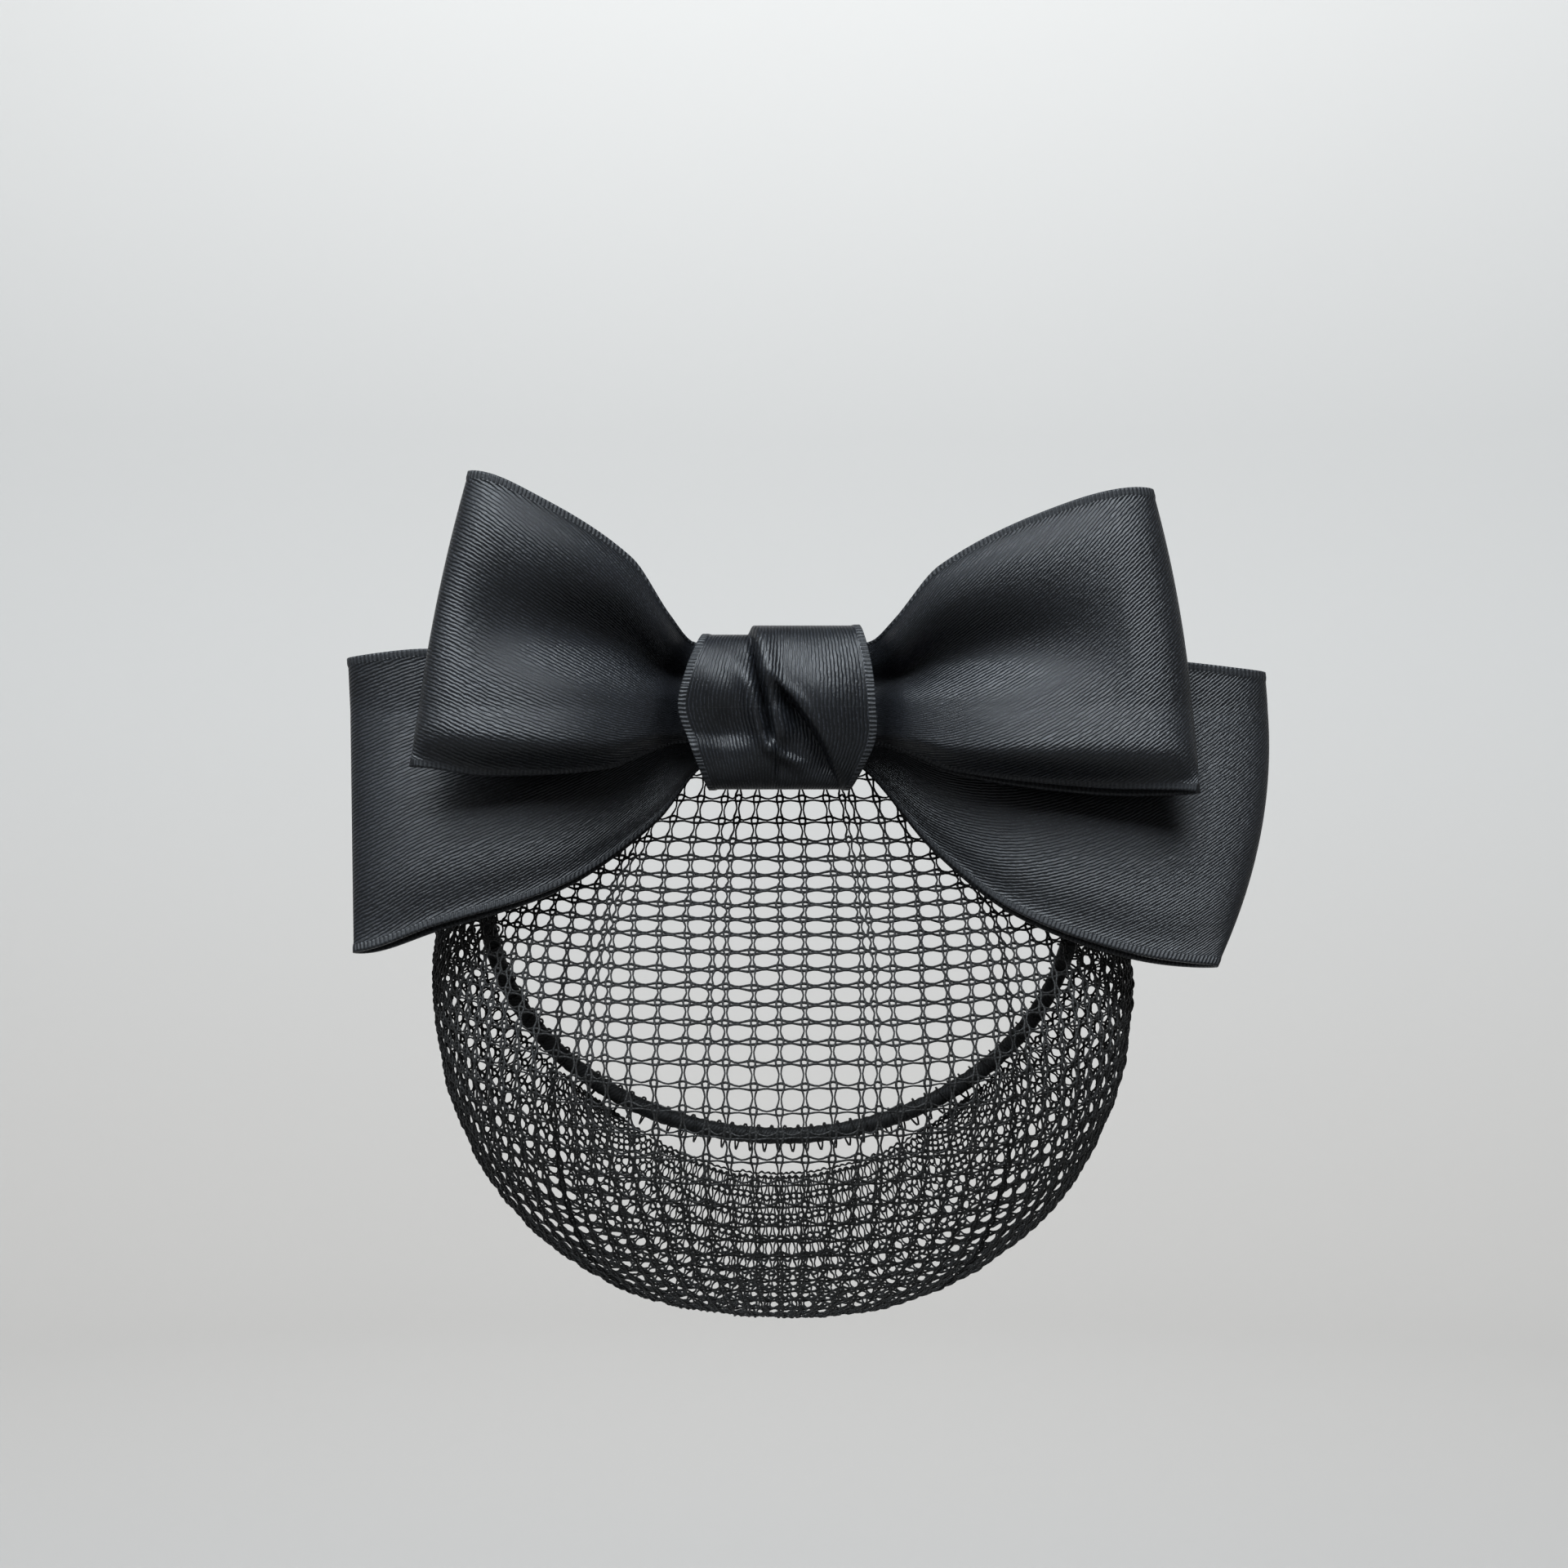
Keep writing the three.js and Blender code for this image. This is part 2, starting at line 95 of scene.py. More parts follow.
# %% [markdown]
# ## From arrays of points to a mesh
#
# A ribbon has tens of thousands of points, so they are worked out all at once with numpy and handed to
# Blender in one go. Every mesh can carry one vector for each point, called cloth here, which tells the
# material how far along and across the weave that point lies. A weave that reads these numbers follows
# the ribbon round every fold.

# %% Mesh helpers
def unit(vectors):
    """The same vectors, each one long."""
    return vectors / np.maximum(np.linalg.norm(vectors, axis=-1, keepdims=True), 1e-12)


def grid_faces(rows, columns, rows_close, columns_close):
    """Four-sided faces over a grid of points that are numbered row by row."""
    last_row = rows if rows_close else rows - 1
    last_column = columns if columns_close else columns - 1
    row, column = np.meshgrid(np.arange(last_row), np.arange(last_column), indexing="ij")
    next_row = (row + 1) % rows
    next_column = (column + 1) % columns
    corners = [
        row * columns + column,
        row * columns + next_column,
        next_row * columns + next_column,
        next_row * columns + column,
    ]
    return np.stack(corners, axis=-1).reshape(-1, 4)


def new_object(name, points, faces, cloth=None):
    """A smooth mesh object from points in millimetres, four-sided faces and the weave's numbers."""
    points = np.asarray(points, float).reshape(-1, 3)
    mesh = bpy.data.meshes.new(name)
    mesh.vertices.add(len(points))
    mesh.vertices.foreach_set("co", (points * MM).ravel())
    mesh.loops.add(faces.size)
    mesh.loops.foreach_set("vertex_index", faces.ravel().astype(np.int32))
    mesh.polygons.add(len(faces))
    mesh.polygons.foreach_set("loop_start", np.arange(0, faces.size, 4, dtype=np.int32))
    mesh.polygons.foreach_set("use_smooth", np.ones(len(faces), bool))
    mesh.update(calc_edges=True)
    if cloth is not None:
        layer = mesh.attributes.new("cloth", "FLOAT_VECTOR", "POINT")
        layer.data.foreach_set("vector", np.asarray(cloth, float).ravel())
    piece = bpy.data.objects.new(name, mesh)
    bpy.context.scene.collection.objects.link(piece)
    print(f"{name}: {len(points)} points, {2 * len(faces)} triangles")
    return piece


def dress(piece, node, material):
    """The piece rides on the clip's body, stands for one CAD node and takes a finish."""
    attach(piece, "root")
    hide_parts(node)
    piece.data.materials.append(material)


# %% [markdown]
# ## Shader maths as Python
#
# A woven surface is a little arithmetic on distances: a thread is a wave along one direction, an edge
# is a step. Value wraps a socket, so that such sums read as Python and add their own Math nodes.
# Finish is the material being written. Its node method adds any other node, from the node's type, its
# settings and what goes into its sockets.

# %% Value and Finish
class Value:
    """One output socket. Arithmetic on it adds Math nodes."""

    def __init__(self, finish, socket):
        self.finish = finish
        self.socket = socket

    def math(self, operation, *others):
        inputs = dict(enumerate([self, *others]))
        return self.finish.node("ShaderNodeMath", {"operation": operation}, inputs)

    def flipped(self, operation, other):
        return self.finish.node("ShaderNodeMath", {"operation": operation}, {0: other, 1: self})

    def __add__(self, other):
        return self.math("ADD", other)

    def __sub__(self, other):
        return self.math("SUBTRACT", other)

    def __mul__(self, other):
        return self.math("MULTIPLY", other)

    def __radd__(self, other):
        return self.flipped("ADD", other)

    def __rsub__(self, other):
        return self.flipped("SUBTRACT", other)

    def wave(self, pitch):
        """A sine from -1 to 1 that repeats at every pitch."""
        return (self * (2 * math.pi / pitch)).math("SINE")

    def step(self, low, high):
        """Rises softly from 0 at low to 1 at high."""
        settings = {"interpolation_type": "SMOOTHSTEP"}
        inputs = {"Value": self, "From Min": low, "From Max": high}
        return self.finish.node("ShaderNodeMapRange", settings, inputs)


class Finish:
    """A material that is being written."""

    def __init__(self, name):
        self.material = bpy.data.materials.new(name)
        self.material.use_nodes = True
        self.tree = self.material.node_tree
        self.tree.nodes.clear()

    def node(self, kind, settings, inputs, output=0):
        """Adds a node, sets its settings, fills its sockets and gives one of its outputs."""
        made = self.tree.nodes.new(kind)
        for name, setting in settings.items():
            setattr(made, name, setting)
        for name, value in inputs.items():
            if isinstance(value, Value):
                self.tree.links.new(value.socket, made.inputs[name])
            else:
                made.inputs[name].default_value = value
        return Value(self, made.outputs[output])

    def cloth(self):
        """How far a point lies along the weave, across it, and in its third direction."""
        vector = self.node("ShaderNodeAttribute", {"attribute_name": "cloth"}, {}, "Vector")
        parts = [self.node("ShaderNodeSeparateXYZ", {}, {"Vector": vector}, axis) for axis in "XYZ"]
        return vector, parts

    def noise(self, vector, scale, detail):
        inputs = {"Vector": vector, "Scale": scale, "Detail": detail, "Roughness": 0.6}
        return self.node("ShaderNodeTexNoise", {}, inputs, "Fac")

    def blend(self, share, a, b):
        """A colour that lies the given share of the way from a to b."""
        return self.node("ShaderNodeMix", {"data_type": "RGBA"}, {0: share, 6: a, 7: b}, 2)

    def bump(self, height, distance, strength):
        inputs = {"Height": height, "Distance": distance, "Strength": strength}
        return self.node("ShaderNodeBump", {}, inputs, "Normal")

    def surface(self, inputs):
        """Ends the material with a Principled shader that takes these inputs."""
        shader = self.node("ShaderNodeBsdfPrincipled", {}, inputs, "BSDF")
        output = self.tree.nodes.new("ShaderNodeOutputMaterial")
        self.tree.links.new(shader.socket, output.inputs["Surface"])
        return self.material

# %% [markdown]
# ## The ribbon of the two bows
#
# Each bow is one closed band of 40 mm satin, pressed together at the waist, so that it makes a loop on
# either side. The upper bow lies in front and the lower bow hangs behind it. In the photo each loop has
# a bright lip along its upper edge, a dark valley that runs out from the knot, and a bright belly below
# that rolls under at the lower edge. The tables place the two edges and the depth from the waist to
# the outer fold, and the rows called creases press the valley in.

# %% Sizes of the bows
PIECE_GAP = 0.3
CLIP_LENGTH = 74
CLIP_HEIGHT = 8
CLIP_WALL = 1
CLIP_HAIR_GAP = 6
CLIP_ARCH = 2.5

RIBBON_WIDTH = 39.5
RIBBON_WALL = 1
LOOP_DEPTH = 8.5
LOOP_FORWARD = 5
UPPER_LEAN = 0.1
LOWER_LEAN = 0.33
LOOP_RISE = 14
BOW_SPREAD = 0.8
FOLD_BLUNTNESS = 8
PLEAT_DEPTH = 2.4
PLEAT_PITCH = 14
PLEAT_CREST = -2.2
PLEAT_REACH = 13
WAIST_HEIGHT = 19.4
KNOT_WIDTH = 25.8
KNOT_WALL = 1.2
NET_WALL = 1.2

# In a loop's table, reach is how far out a row lies and length is the loop's whole length. Slant and bow
# shape the outer fold, and back_drop lowers the back of the ribbon. A crease says its place across the
# ribbon at the knot and at its end, the reach where it ends, the share of the depth that it presses in,
# and its spread across the ribbon.
UPPER_LEFT = {
    "side": -1, "length": 43.5, "slant": -0.158, "bow": 0.02, "back_drop": 0,
    "reach": [0, 0.29, 0.36, 0.48, 0.8, 1],
    "top": [0.205, 0.228, 0.31, 0.495, 0.704, 0.775],
    "bottom": [-0.1, -0.108, -0.135, -0.195, -0.218, -0.19],
    "depth": [0, 0.05, 0.62, 0.86, 1, 1.1],
    "creases": [
        (0.66, 0.53, 1, 0.65, 0.15), (0.62, 0.46, 1, 0.2, 0.3),
        (0, 0, 1.6, 0.8, 0.08), (1, 1, 1.6, 0.2, 0.11),
    ],
}
UPPER_RIGHT = {
    "side": 1, "length": 50.5, "slant": -0.101, "bow": 0.025, "back_drop": -0.03,
    "reach": [0, 0.25, 0.31, 0.43, 0.75, 1],
    "top": [0.205, 0.228, 0.293, 0.468, 0.66, 0.727],
    "bottom": [-0.1, -0.112, -0.137, -0.203, -0.256, -0.258],
    "depth": [0, 0.05, 0.62, 0.86, 1, 1.1],
    "creases": [
        (0.63, 0.5, 0.86, 0.65, 0.15), (0.6, 0.44, 0.95, 0.2, 0.3),
        (0, 0, 1.6, 0.8, 0.08), (1, 1, 1.6, 0.2, 0.11),
    ],
}
LOWER_LEFT = {
    "side": -1, "length": 56.1, "slant": 0.043, "bow": 0, "back_drop": -0.03,
    "reach": [0, 0.18, 0.3, 0.5, 0.82, 1],
    "top": [0.12, 0.13, 0.15, 0.19, 0.205, 0.19],
    "bottom": [-0.16, -0.175, -0.367, -0.567, -0.71, -0.782],
    "depth": [0, 0.03, 0.12, 0.38, 0.75, 0.95],
    "creases": [(0.66, 0.62, 0.9, 0.4, 0.16), (0, 0, 1.6, 0.4, 0.14)],
}
LOWER_RIGHT = {
    "side": 1, "length": 60.2, "slant": 0.133, "bow": 0.05, "back_drop": -0.03,
    "reach": [0, 0.18, 0.36, 0.53, 0.79, 1],
    "top": [0.12, 0.128, 0.16, 0.172, 0.165, 0.142],
    "bottom": [-0.16, -0.175, -0.46, -0.653, -0.79, -0.825],
    "depth": [0, 0.03, 0.18, 0.42, 0.75, 0.95],
    "creases": [(0.66, 0.62, 0.9, 0.4, 0.16), (0, 0, 1.6, 0.4, 0.14)],
}

# Places across the layers at the waist, from the clip forward
plate_front = -CLIP_HAIR_GAP / 2 - CLIP_WALL
net_hem_y = plate_front - PIECE_GAP - NET_WALL / 2
knot_back = net_hem_y - NET_WALL / 2 - PIECE_GAP
pleat_slope = math.pi * PLEAT_DEPTH / PLEAT_PITCH
layer_step = (RIBBON_WALL + PIECE_GAP) * math.hypot(1, pleat_slope)
lower_back_layer = knot_back - KNOT_WALL - PIECE_GAP - RIBBON_WALL / 2
between_bows = lower_back_layer - 1.5 * layer_step
print(f"the bows part at y = {between_bows:.2f} mm")

# %% Surface of a bow
def waist_pleat(x, z):
    """Depth of the pleats that all ribbon layers share at the waist."""
    wave = 0.5 + 0.5 * np.cos(2 * math.pi * (z - PLEAT_CREST) / PLEAT_PITCH)
    window = np.maximum(0, 1 - (2 * z / WAIST_HEIGHT) ** 2)
    return PLEAT_DEPTH * wave * window * ridge(x, PLEAT_REACH)


def freedom(x):
    """How far a place is out of the knot's hold, from 0 at the waist to 1 out in the loops."""
    return 1 - ridge(np.maximum(0, np.abs(x) - KNOT_WIDTH / 3), LOOP_RISE)


# A power below 1 makes a crease deepen soon after it leaves the knot
CREASE_RISE = 0.6
# At the knot a crease is this share of its full width
CREASE_PINCH = 0.45


def pressed_in(loop, reach, across):
    """The share of a loop's depth that its creases press in."""
    pressed = np.zeros_like(reach)
    for knot, end, far, share, spread in loop["creases"]:
        travelled = np.minimum(1, reach / far)
        fade = np.maximum(0, np.sin(math.pi * travelled**CREASE_RISE))
        width = spread * mix(CREASE_PINCH, 1, smooth_step(travelled, 0, 0.5))
        pressed += share * fade * ridge(across - mix(knot, end, travelled), width)
    return pressed


def loop_surface(loop, facing, along, across):
    """Points on one loop's ribbon. facing is -1 for the bow in front and 1 for the one behind."""
    angle = 2 * math.pi * along
    reach = np.abs(np.sin(angle))
    front = np.sign(np.cos(angle)) * np.sqrt(np.maximum(0, 1 - reach**FOLD_BLUNTNESS))
    top, bottom, depth = (read_table(loop, "reach", name, reach) for name in ("top", "bottom", "depth"))

    centred = 2 * across - 1
    fold = loop["length"] * (1 + loop["slant"] * centred / 2 + loop["bow"] * (1 - centred**2))
    x = loop["side"] * fold * reach
    lowered = loop["back_drop"] * (1 - front) / 2 * reach
    z = RIBBON_WIDTH * (mix(bottom, top, across) + lowered)

    deep = layer_step + LOOP_DEPTH * depth
    away = layer_step / 2 + BOW_SPREAD * freedom(x) + deep * (1 - facing * front) / 2
    lean = np.where(z > 0, UPPER_LEAN, LOWER_LEAN)
    plane = between_bows + freedom(x) * (lean * z - LOOP_FORWARD)
    y = plane + facing * away - waist_pleat(x, z)
    y += deep * np.maximum(0, front) * pressed_in(loop, reach, across)
    return np.stack([x, y, z], axis=-1)


def bow_surface(left, right, facing, along, across):
    """Points on a whole bow: the right loop's front and back, then the left loop's back and front."""
    on_right = (np.sin(2 * math.pi * along) >= 0)[..., None]
    right_points = loop_surface(right, facing, along, across)
    left_points = loop_surface(left, facing, along, across)
    return np.where(on_right, right_points, left_points)

# %% [markdown]
# ## A ribbon shell
#
# Real satin ribbon is about 0.35 mm thick, with a firmer woven edge, the selvage. The shell has an outer
# and an inner skin with the edges closed between them, so it shows thickness wherever a loop is seen
# end on. The rows of points lie closer near the two edges, where the selvage steps up.

# %% Build the shell of a ribbon
SATIN_WALL = 0.36
SELVAGE_WALL = 0.6
SELVAGE_WIDTH = 1.1
SELVAGE_STATIONS = [0, 0.3, 0.7, 1.0, 1.25, 1.8]


def ribbon_stations(count):
    """Places across the ribbon from 0 to 1, closer together at the selvages."""
    edge = np.array(SELVAGE_STATIONS) / RIBBON_WIDTH
    middle = np.linspace(edge[-1], 1 - edge[-1], count)[1:-1]
    return np.concatenate([edge, middle, 1 - edge[::-1]])


def shell_points(middle, normal, wall):
    """The outer and the inner skin of a band, joined across its two edges into one ring of points."""
    half = (wall / 2)[..., None]
    outer = middle + normal * half
    inner = middle - normal * half
    return np.concatenate([outer, inner[:, ::-1]], axis=1)


def band_normals(points):
    """Unit normals of a grid of points that closes on itself along its first direction."""
    along = np.roll(points, -1, axis=0) - np.roll(points, 1, axis=0)
    across = np.gradient(points, axis=1)
    return unit(np.cross(along, across))


def selvage_wall(across, width):
    """Thickness of a ribbon at places across it, thicker in the woven edges."""
    from_edge = np.minimum(across, 1 - across) * width
    return mix(SELVAGE_WALL, SATIN_WALL, smooth_step(from_edge, SELVAGE_WIDTH - 0.25, SELVAGE_WIDTH + 0.15))


def ribbon_shell(name, middle, across, width, twill):
    """A ribbon from its middle surface, with the weave's numbers for the material."""
    middle_line = middle[:, middle.shape[1] // 2]
    steps = np.linalg.norm(np.roll(middle_line, -1, axis=0) - middle_line, axis=-1)
    along_mm = np.concatenate([[0], np.cumsum(steps)[:-1]])
    length = steps.sum()
    # How far across the ribbon a line of the twill has climbed by each step along it
    rise = np.concatenate([[0], np.cumsum(twill * steps)[:-1]])
    across_mm = across * width
    skin = np.stack(np.broadcast_arrays(
        along_mm[:, None], across_mm[None, :], across_mm[None, :] - rise[:, None]), axis=-1)
    points = shell_points(middle, band_normals(middle), selvage_wall(across, width)[None, :])
    cloth = np.concatenate([skin, skin[:, ::-1]], axis=1)
    rows, columns = points.shape[:2]
    piece = new_object(name, points, grid_faces(rows, columns, True, True), cloth)
    print(f"{name}: ribbon {width} mm wide, {length:.0f} mm round")
    return piece, length


BOW_STEPS = 400
BOW_STATIONS = 54
# Slopes of the twill at the knot and the fold of the left loop, then at those of the right loop
UPPER_TWILL = (-0.5, -0.25, 0.2, 0.8)
LOWER_TWILL = (0.35, 0.25, 0.1, 1.0)
bow_across = ribbon_stations(BOW_STATIONS)
bow_along = np.arange(BOW_STEPS) / BOW_STEPS


def make_bow(name, left, right, facing, twill_slopes):
    """One bow's ribbon, with its length."""
    along, across = np.meshgrid(bow_along, bow_across, indexing="ij")
    middle = bow_surface(left, right, facing, along, across)
    reach = np.abs(np.sin(2 * math.pi * bow_along))
    left_knot, left_fold, right_knot, right_fold = twill_slopes
    on_right = np.sin(2 * math.pi * bow_along) >= 0
    twill = np.where(on_right, mix(right_knot, right_fold, reach), mix(left_knot, left_fold, reach))
    return ribbon_shell(name, middle, bow_across, RIBBON_WIDTH, twill)


upper_ribbon, upper_length = make_bow("upper_bow_satin", UPPER_LEFT, UPPER_RIGHT, -1, UPPER_TWILL)
lower_ribbon, lower_length = make_bow("lower_bow_satin", LOWER_LEFT, LOWER_RIGHT, 1, LOWER_TWILL)

# %% [markdown]
# ## The knot
#
# A 25 mm ribbon is wound round both waists and twisted once in front. The photo shows a narrow black
# gap between the left band and the rolled edge of the right band, and a diagonal crease where the right
# band folds over the tucked part. The ring follows the CAD knot, and its front is pressed in and raised
# along these lines. Each line is a table of its place across the knot at a few heights.

# %% Sizes and lines of the knot
KNOT_PUFF = 1.8
KNOT_TOP_SQUARENESS = 2.1
KNOT_FOOT_SQUARENESS = 2
KNOT_BACK_SQUARENESS = 4.5
KNOT_TILT = 0.2
KNOT_TOP_TILT = 0.13
KNOT_TILT_SOFTNESS = 4
KNOT_CREST = 3
KNOT_SHOULDER = 1
KNOT_LEFT_DROP = 1.2
KNOT_SLACK = 2.6
KNOT_RAISE = 0.35
KNOT_RIBBON_WIDTH = 25.5

KNOT_EDGES = {
    "angle": [-180, -90, -40, 0, 45, 90, 180],
    "left": [-0.66, -0.72, -0.92, -1.03, -0.95, -0.78, -0.66],
    "right": [0.64, 0.7, 0.95, 0.96, 0.92, 0.8, 0.64],
}
KNOT_PUFFS = [(-0.5, -0.22, 0.26, 0.8), (0.42, -0.12, 0.36, 1)]

upper_front_layer = lower_back_layer - 3 * layer_step
knot_front = upper_front_layer - PLEAT_DEPTH - RIBBON_WALL / 2 - PIECE_GAP - KNOT_SLACK

GAP_LINE = {"height": [-12, -3.6, 0.9, 4.1, 9.3, 14], "share": [-0.06, -0.1, -0.165, -0.22, -0.28, -0.3]}
CREASE_LINE = {"height": [-12, -6.8, -3.2, 1.2, 4.4, 14], "share": [0.66, 0.51, 0.37, 0.13, -0.06, -0.2]}
CURL_LINE = {"height": [-12, -7.2, -5.6, -3.5, 3.7, 14], "share": [0.3, 0.16, -0.02, -0.15, -0.33, -0.6]}


def soft_rise(value):
    """Nearly 0 below 0 and nearly the value above it, with a soft turn between."""
    return (value + np.hypot(value, KNOT_TILT_SOFTNESS)) / 2


def knot_surface(along, across):
    """Points on the knot's ribbon. along runs from straight ahead, up and over to the back."""
    turn = 2 * math.pi * along
    depth_radius = (knot_back - knot_front) / 2
    height_radius = WAIST_HEIGHT / 2 + PIECE_GAP + KNOT_WALL / 2
    ahead, up = np.cos(turn), np.sin(turn)
    front_power = mix(KNOT_FOOT_SQUARENESS, KNOT_TOP_SQUARENESS, smooth_step(up, -0.5, 0.5))
    power = np.where(ahead > 0, front_power, KNOT_BACK_SQUARENESS)
    radius = (np.abs(ahead / depth_radius) ** power + np.abs(up / height_radius) ** power) ** (-1 / power)
    degrees = (360 * along + 180) % 360 - 180
    left = read_table(KNOT_EDGES, "angle", "left", degrees)
    right = read_table(KNOT_EDGES, "angle", "right", degrees)
    share = mix(left, right, across)
    frontness = np.maximum(0, ahead) ** 0.6
    puff = sum(height * ridge(share - at - lean * up, spread) for at, lean, spread, height in KNOT_PUFFS)
    left_band = smooth_step(-line_distance(GAP_LINE, share, up * radius), -0.3, 0.5)
    z = up * radius + KNOT_RAISE - KNOT_LEFT_DROP * left_band * np.maximum(0, up) ** 2
    tilt = KNOT_TILT * soft_rise(KNOT_CREST - z) + KNOT_TOP_TILT * soft_rise(z - KNOT_SHOULDER)
    tilted = tilt * np.maximum(0, ahead)
    middle = (knot_back + knot_front) / 2 - KNOT_WALL / 2
    raised = frontness * (ahead * KNOT_PUFF * puff + knot_relief(share, z))
    y = middle - ahead * radius + tilted - raised
    return np.stack([KNOT_WIDTH / 2 * share, y, z], axis=-1)


def line_distance(line, share, z):
    """Millimetres to the right of a line across the knot."""
    at = np.clip(z, line["height"][0], line["height"][-1])
    return KNOT_WIDTH / 2 * (share - read_table(line, "height", "share", at))


def knot_relief(share, z):
    """How far the twist raises the knot's front, in millimetres."""
    gap = line_distance(GAP_LINE, share, z)
    crease = line_distance(CREASE_LINE, share, z)
    curl = line_distance(CURL_LINE, share, z)
    gap_fade = smooth_step(z, -5.6, -2.6)
    crease_fade = smooth_step(-z, -5.2, -0.5) * smooth_step(z, -11, -7)

    groove = -2.7 * ridge(gap, 0.5) * gap_fade
    rolled_edge = 1.4 * ridge(gap - 1.5, 1.3) * gap_fade
    left_lower = -1.1 * smooth_step(-gap, -0.3, 0.6) * gap_fade
    tongue = smooth_step(gap, -0.2, 0.8) * smooth_step(-crease, -0.45, 0.35)
    tucked = -tongue * crease_fade * (1.3 + 1.9 * ridge(crease, 2.2))
    band_edge = 0.35 * ridge(crease - 1.0, 1.0) * crease_fade
    curled = 1.3 * ridge(curl, 1.4) * smooth_step(z, -9, -6.5) * smooth_step(-z, -8.5, -3)
    hollow = -2.0 * ridge(np.hypot((share + 0.5) * 11, (z + 3.0) * 0.62), 2.7)
    return groove + rolled_edge + left_lower + tucked + band_edge + curled + hollow


# %% Make the knot
KNOT_STEPS = 300
KNOT_STATIONS = 190
KNOT_CROWDING = 0.09
knot_across = np.linspace(0, 1, KNOT_STATIONS)
# The steps crowd on the front, where the twist is
even_along = np.arange(KNOT_STEPS) / KNOT_STEPS
knot_along = even_along - KNOT_CROWDING * np.sin(2 * math.pi * even_along)
knot_grid = np.meshgrid(knot_along, knot_across, indexing="ij")
knot_middle = knot_surface(*knot_grid)
knot_ribbon, knot_length = ribbon_shell(
    "knot_satin", knot_middle, knot_across, KNOT_RIBBON_WIDTH, np.zeros(KNOT_STEPS))

# %% [markdown]
# ## The net's form
#
# The pouch hangs from the clip, swells out and down round the bun that it is made to hold, and comes
# back up to an elastic cord round its mouth. Its form is again the CAD's: each row from the clip to the
# lower back edge has a middle, an edge on the mouth and a roundness. On this form the real net is laid
# out as it was knitted, in 60 columns and 44 rows of cells about 3 mm wide.

# %% Sizes and form of the net
NET_HEM = 1.3
NET_DROP = 78
NET_REACH = 33
NET_POINT = 0.85
MOUTH_HALF_WIDTH = 40.5
MOUTH_HALF_HEIGHT = 34
MOUTH_CENTRE_DROP = 25
MOUTH_TILT = 0.25
ELASTIC_DIAMETER = 2.4
ELASTIC_TUCK = 0.7
RIGHT_FULLNESS = 1.02

NET_FORM = {
    "row": [0, 0.1, 0.2, 0.35, 0.5, 0.65, 0.78, 0.88, 0.95, 1],
    "down": [0, 0.105, 0.21, 0.37, 0.56, 0.76, 0.92, 0.99, 0.93, 0.79],
    "out": [0, 0.01, 0.13, 0.58, 0.97, 0.93, 0.56, 0.16, -0.26, -0.45],
    "edge": [126, 118, 106, 89, 73, 60, 50, 44, 39, 35],
    "wrap": [90, 96, 103, 111, 117, 120, 117, 98, 65, 35],
    "flat": [1, 1.1, 1.2, 1.35, 1.5, 1.6, 1.5, 1.35, 1.1, 1],
}
NET_GATHERS = [(0.18, 1.6, 0.07), (-0.24, 1.2, 0.08)]
GATHER_REACH = 0.55


def clip_bend(x):
    """How far the clip curves towards the head at a place along it."""
    return CLIP_ARCH * (2 * x / CLIP_LENGTH) ** 2


def mouth_point(angle, outside):
    """Points on the mouth's ellipse, some way outside the middle of the elastic."""
    x = (MOUTH_HALF_WIDTH + outside) * np.sin(angle)
    z = -MOUTH_CENTRE_DROP - (MOUTH_HALF_HEIGHT + outside) * np.cos(angle)
    y = -CLIP_HEIGHT / 8 - MOUTH_TILT * (z + CLIP_HEIGHT / 2)
    return x, y, z


def net_surface(row, across):
    """Points on the net. row runs from the clip (0) to the lower back edge (1), across from -1 to 1."""
    form = {name: read_table(NET_FORM, "row", name, row) for name in NET_FORM if name != "row"}
    outside = ELASTIC_DIAMETER / 2 + 1.5 * PIECE_GAP + NET_WALL / 2
    edge_x, edge_y, edge_z = mouth_point(np.radians(form["edge"]), outside)
    before_plate = net_hem_y + clip_bend(edge_x) - edge_y
    edge_y = edge_y + before_plate * np.maximum(0, 1 - row) ** 4
    wrap = np.radians(form["wrap"])
    turn = wrap * np.abs(across)
    round_share = (1 - np.cos(turn)) / (1 - np.cos(wrap))
    fullness = np.where(across < 0, 1, RIGHT_FULLNESS)
    bulge = mix(1, fullness, np.sin(math.pi * np.abs(across)))
    x = np.sign(across) * edge_x / np.sin(wrap) * np.sin(turn) * bulge
    y = mix(net_hem_y - NET_REACH * form["out"], edge_y, round_share**NET_POINT)
    z = mix(-CLIP_HEIGHT / 2 + NET_HEM - NET_DROP * form["down"], edge_z, round_share ** form["flat"])
    gather_fade = np.sin(math.pi * np.minimum(1, row / GATHER_REACH))
    for at, height, spread in NET_GATHERS:
        y = y - height * gather_fade * ridge(across - at, spread)
    return np.stack([x, y, z], axis=-1)


# %% [markdown]
# ## Where the columns and rows run
#
# The columns do not share the pouch's width evenly. Near the clip they keep their full width in the
# middle and crowd behind the bow's loops, and they draw together where the net is pleated. The rows
# are spaced evenly down the middle of the pouch, so every cell there has the pitch of the real net.

# %% Lay out the columns and rows
NET_COLUMNS = 60
NET_ROWS = 44
PLEAT_HEIGHT = 0.55
DENT_HEIGHT = 0.7
# Each pleat has a place across the pouch, a spread and a strength
PLEATS = [(0.13, 0.022, 0.75), (-0.09, 0.02, 0.5), (-0.27, 0.03, 0.6), (0.34, 0.03, 0.45)]


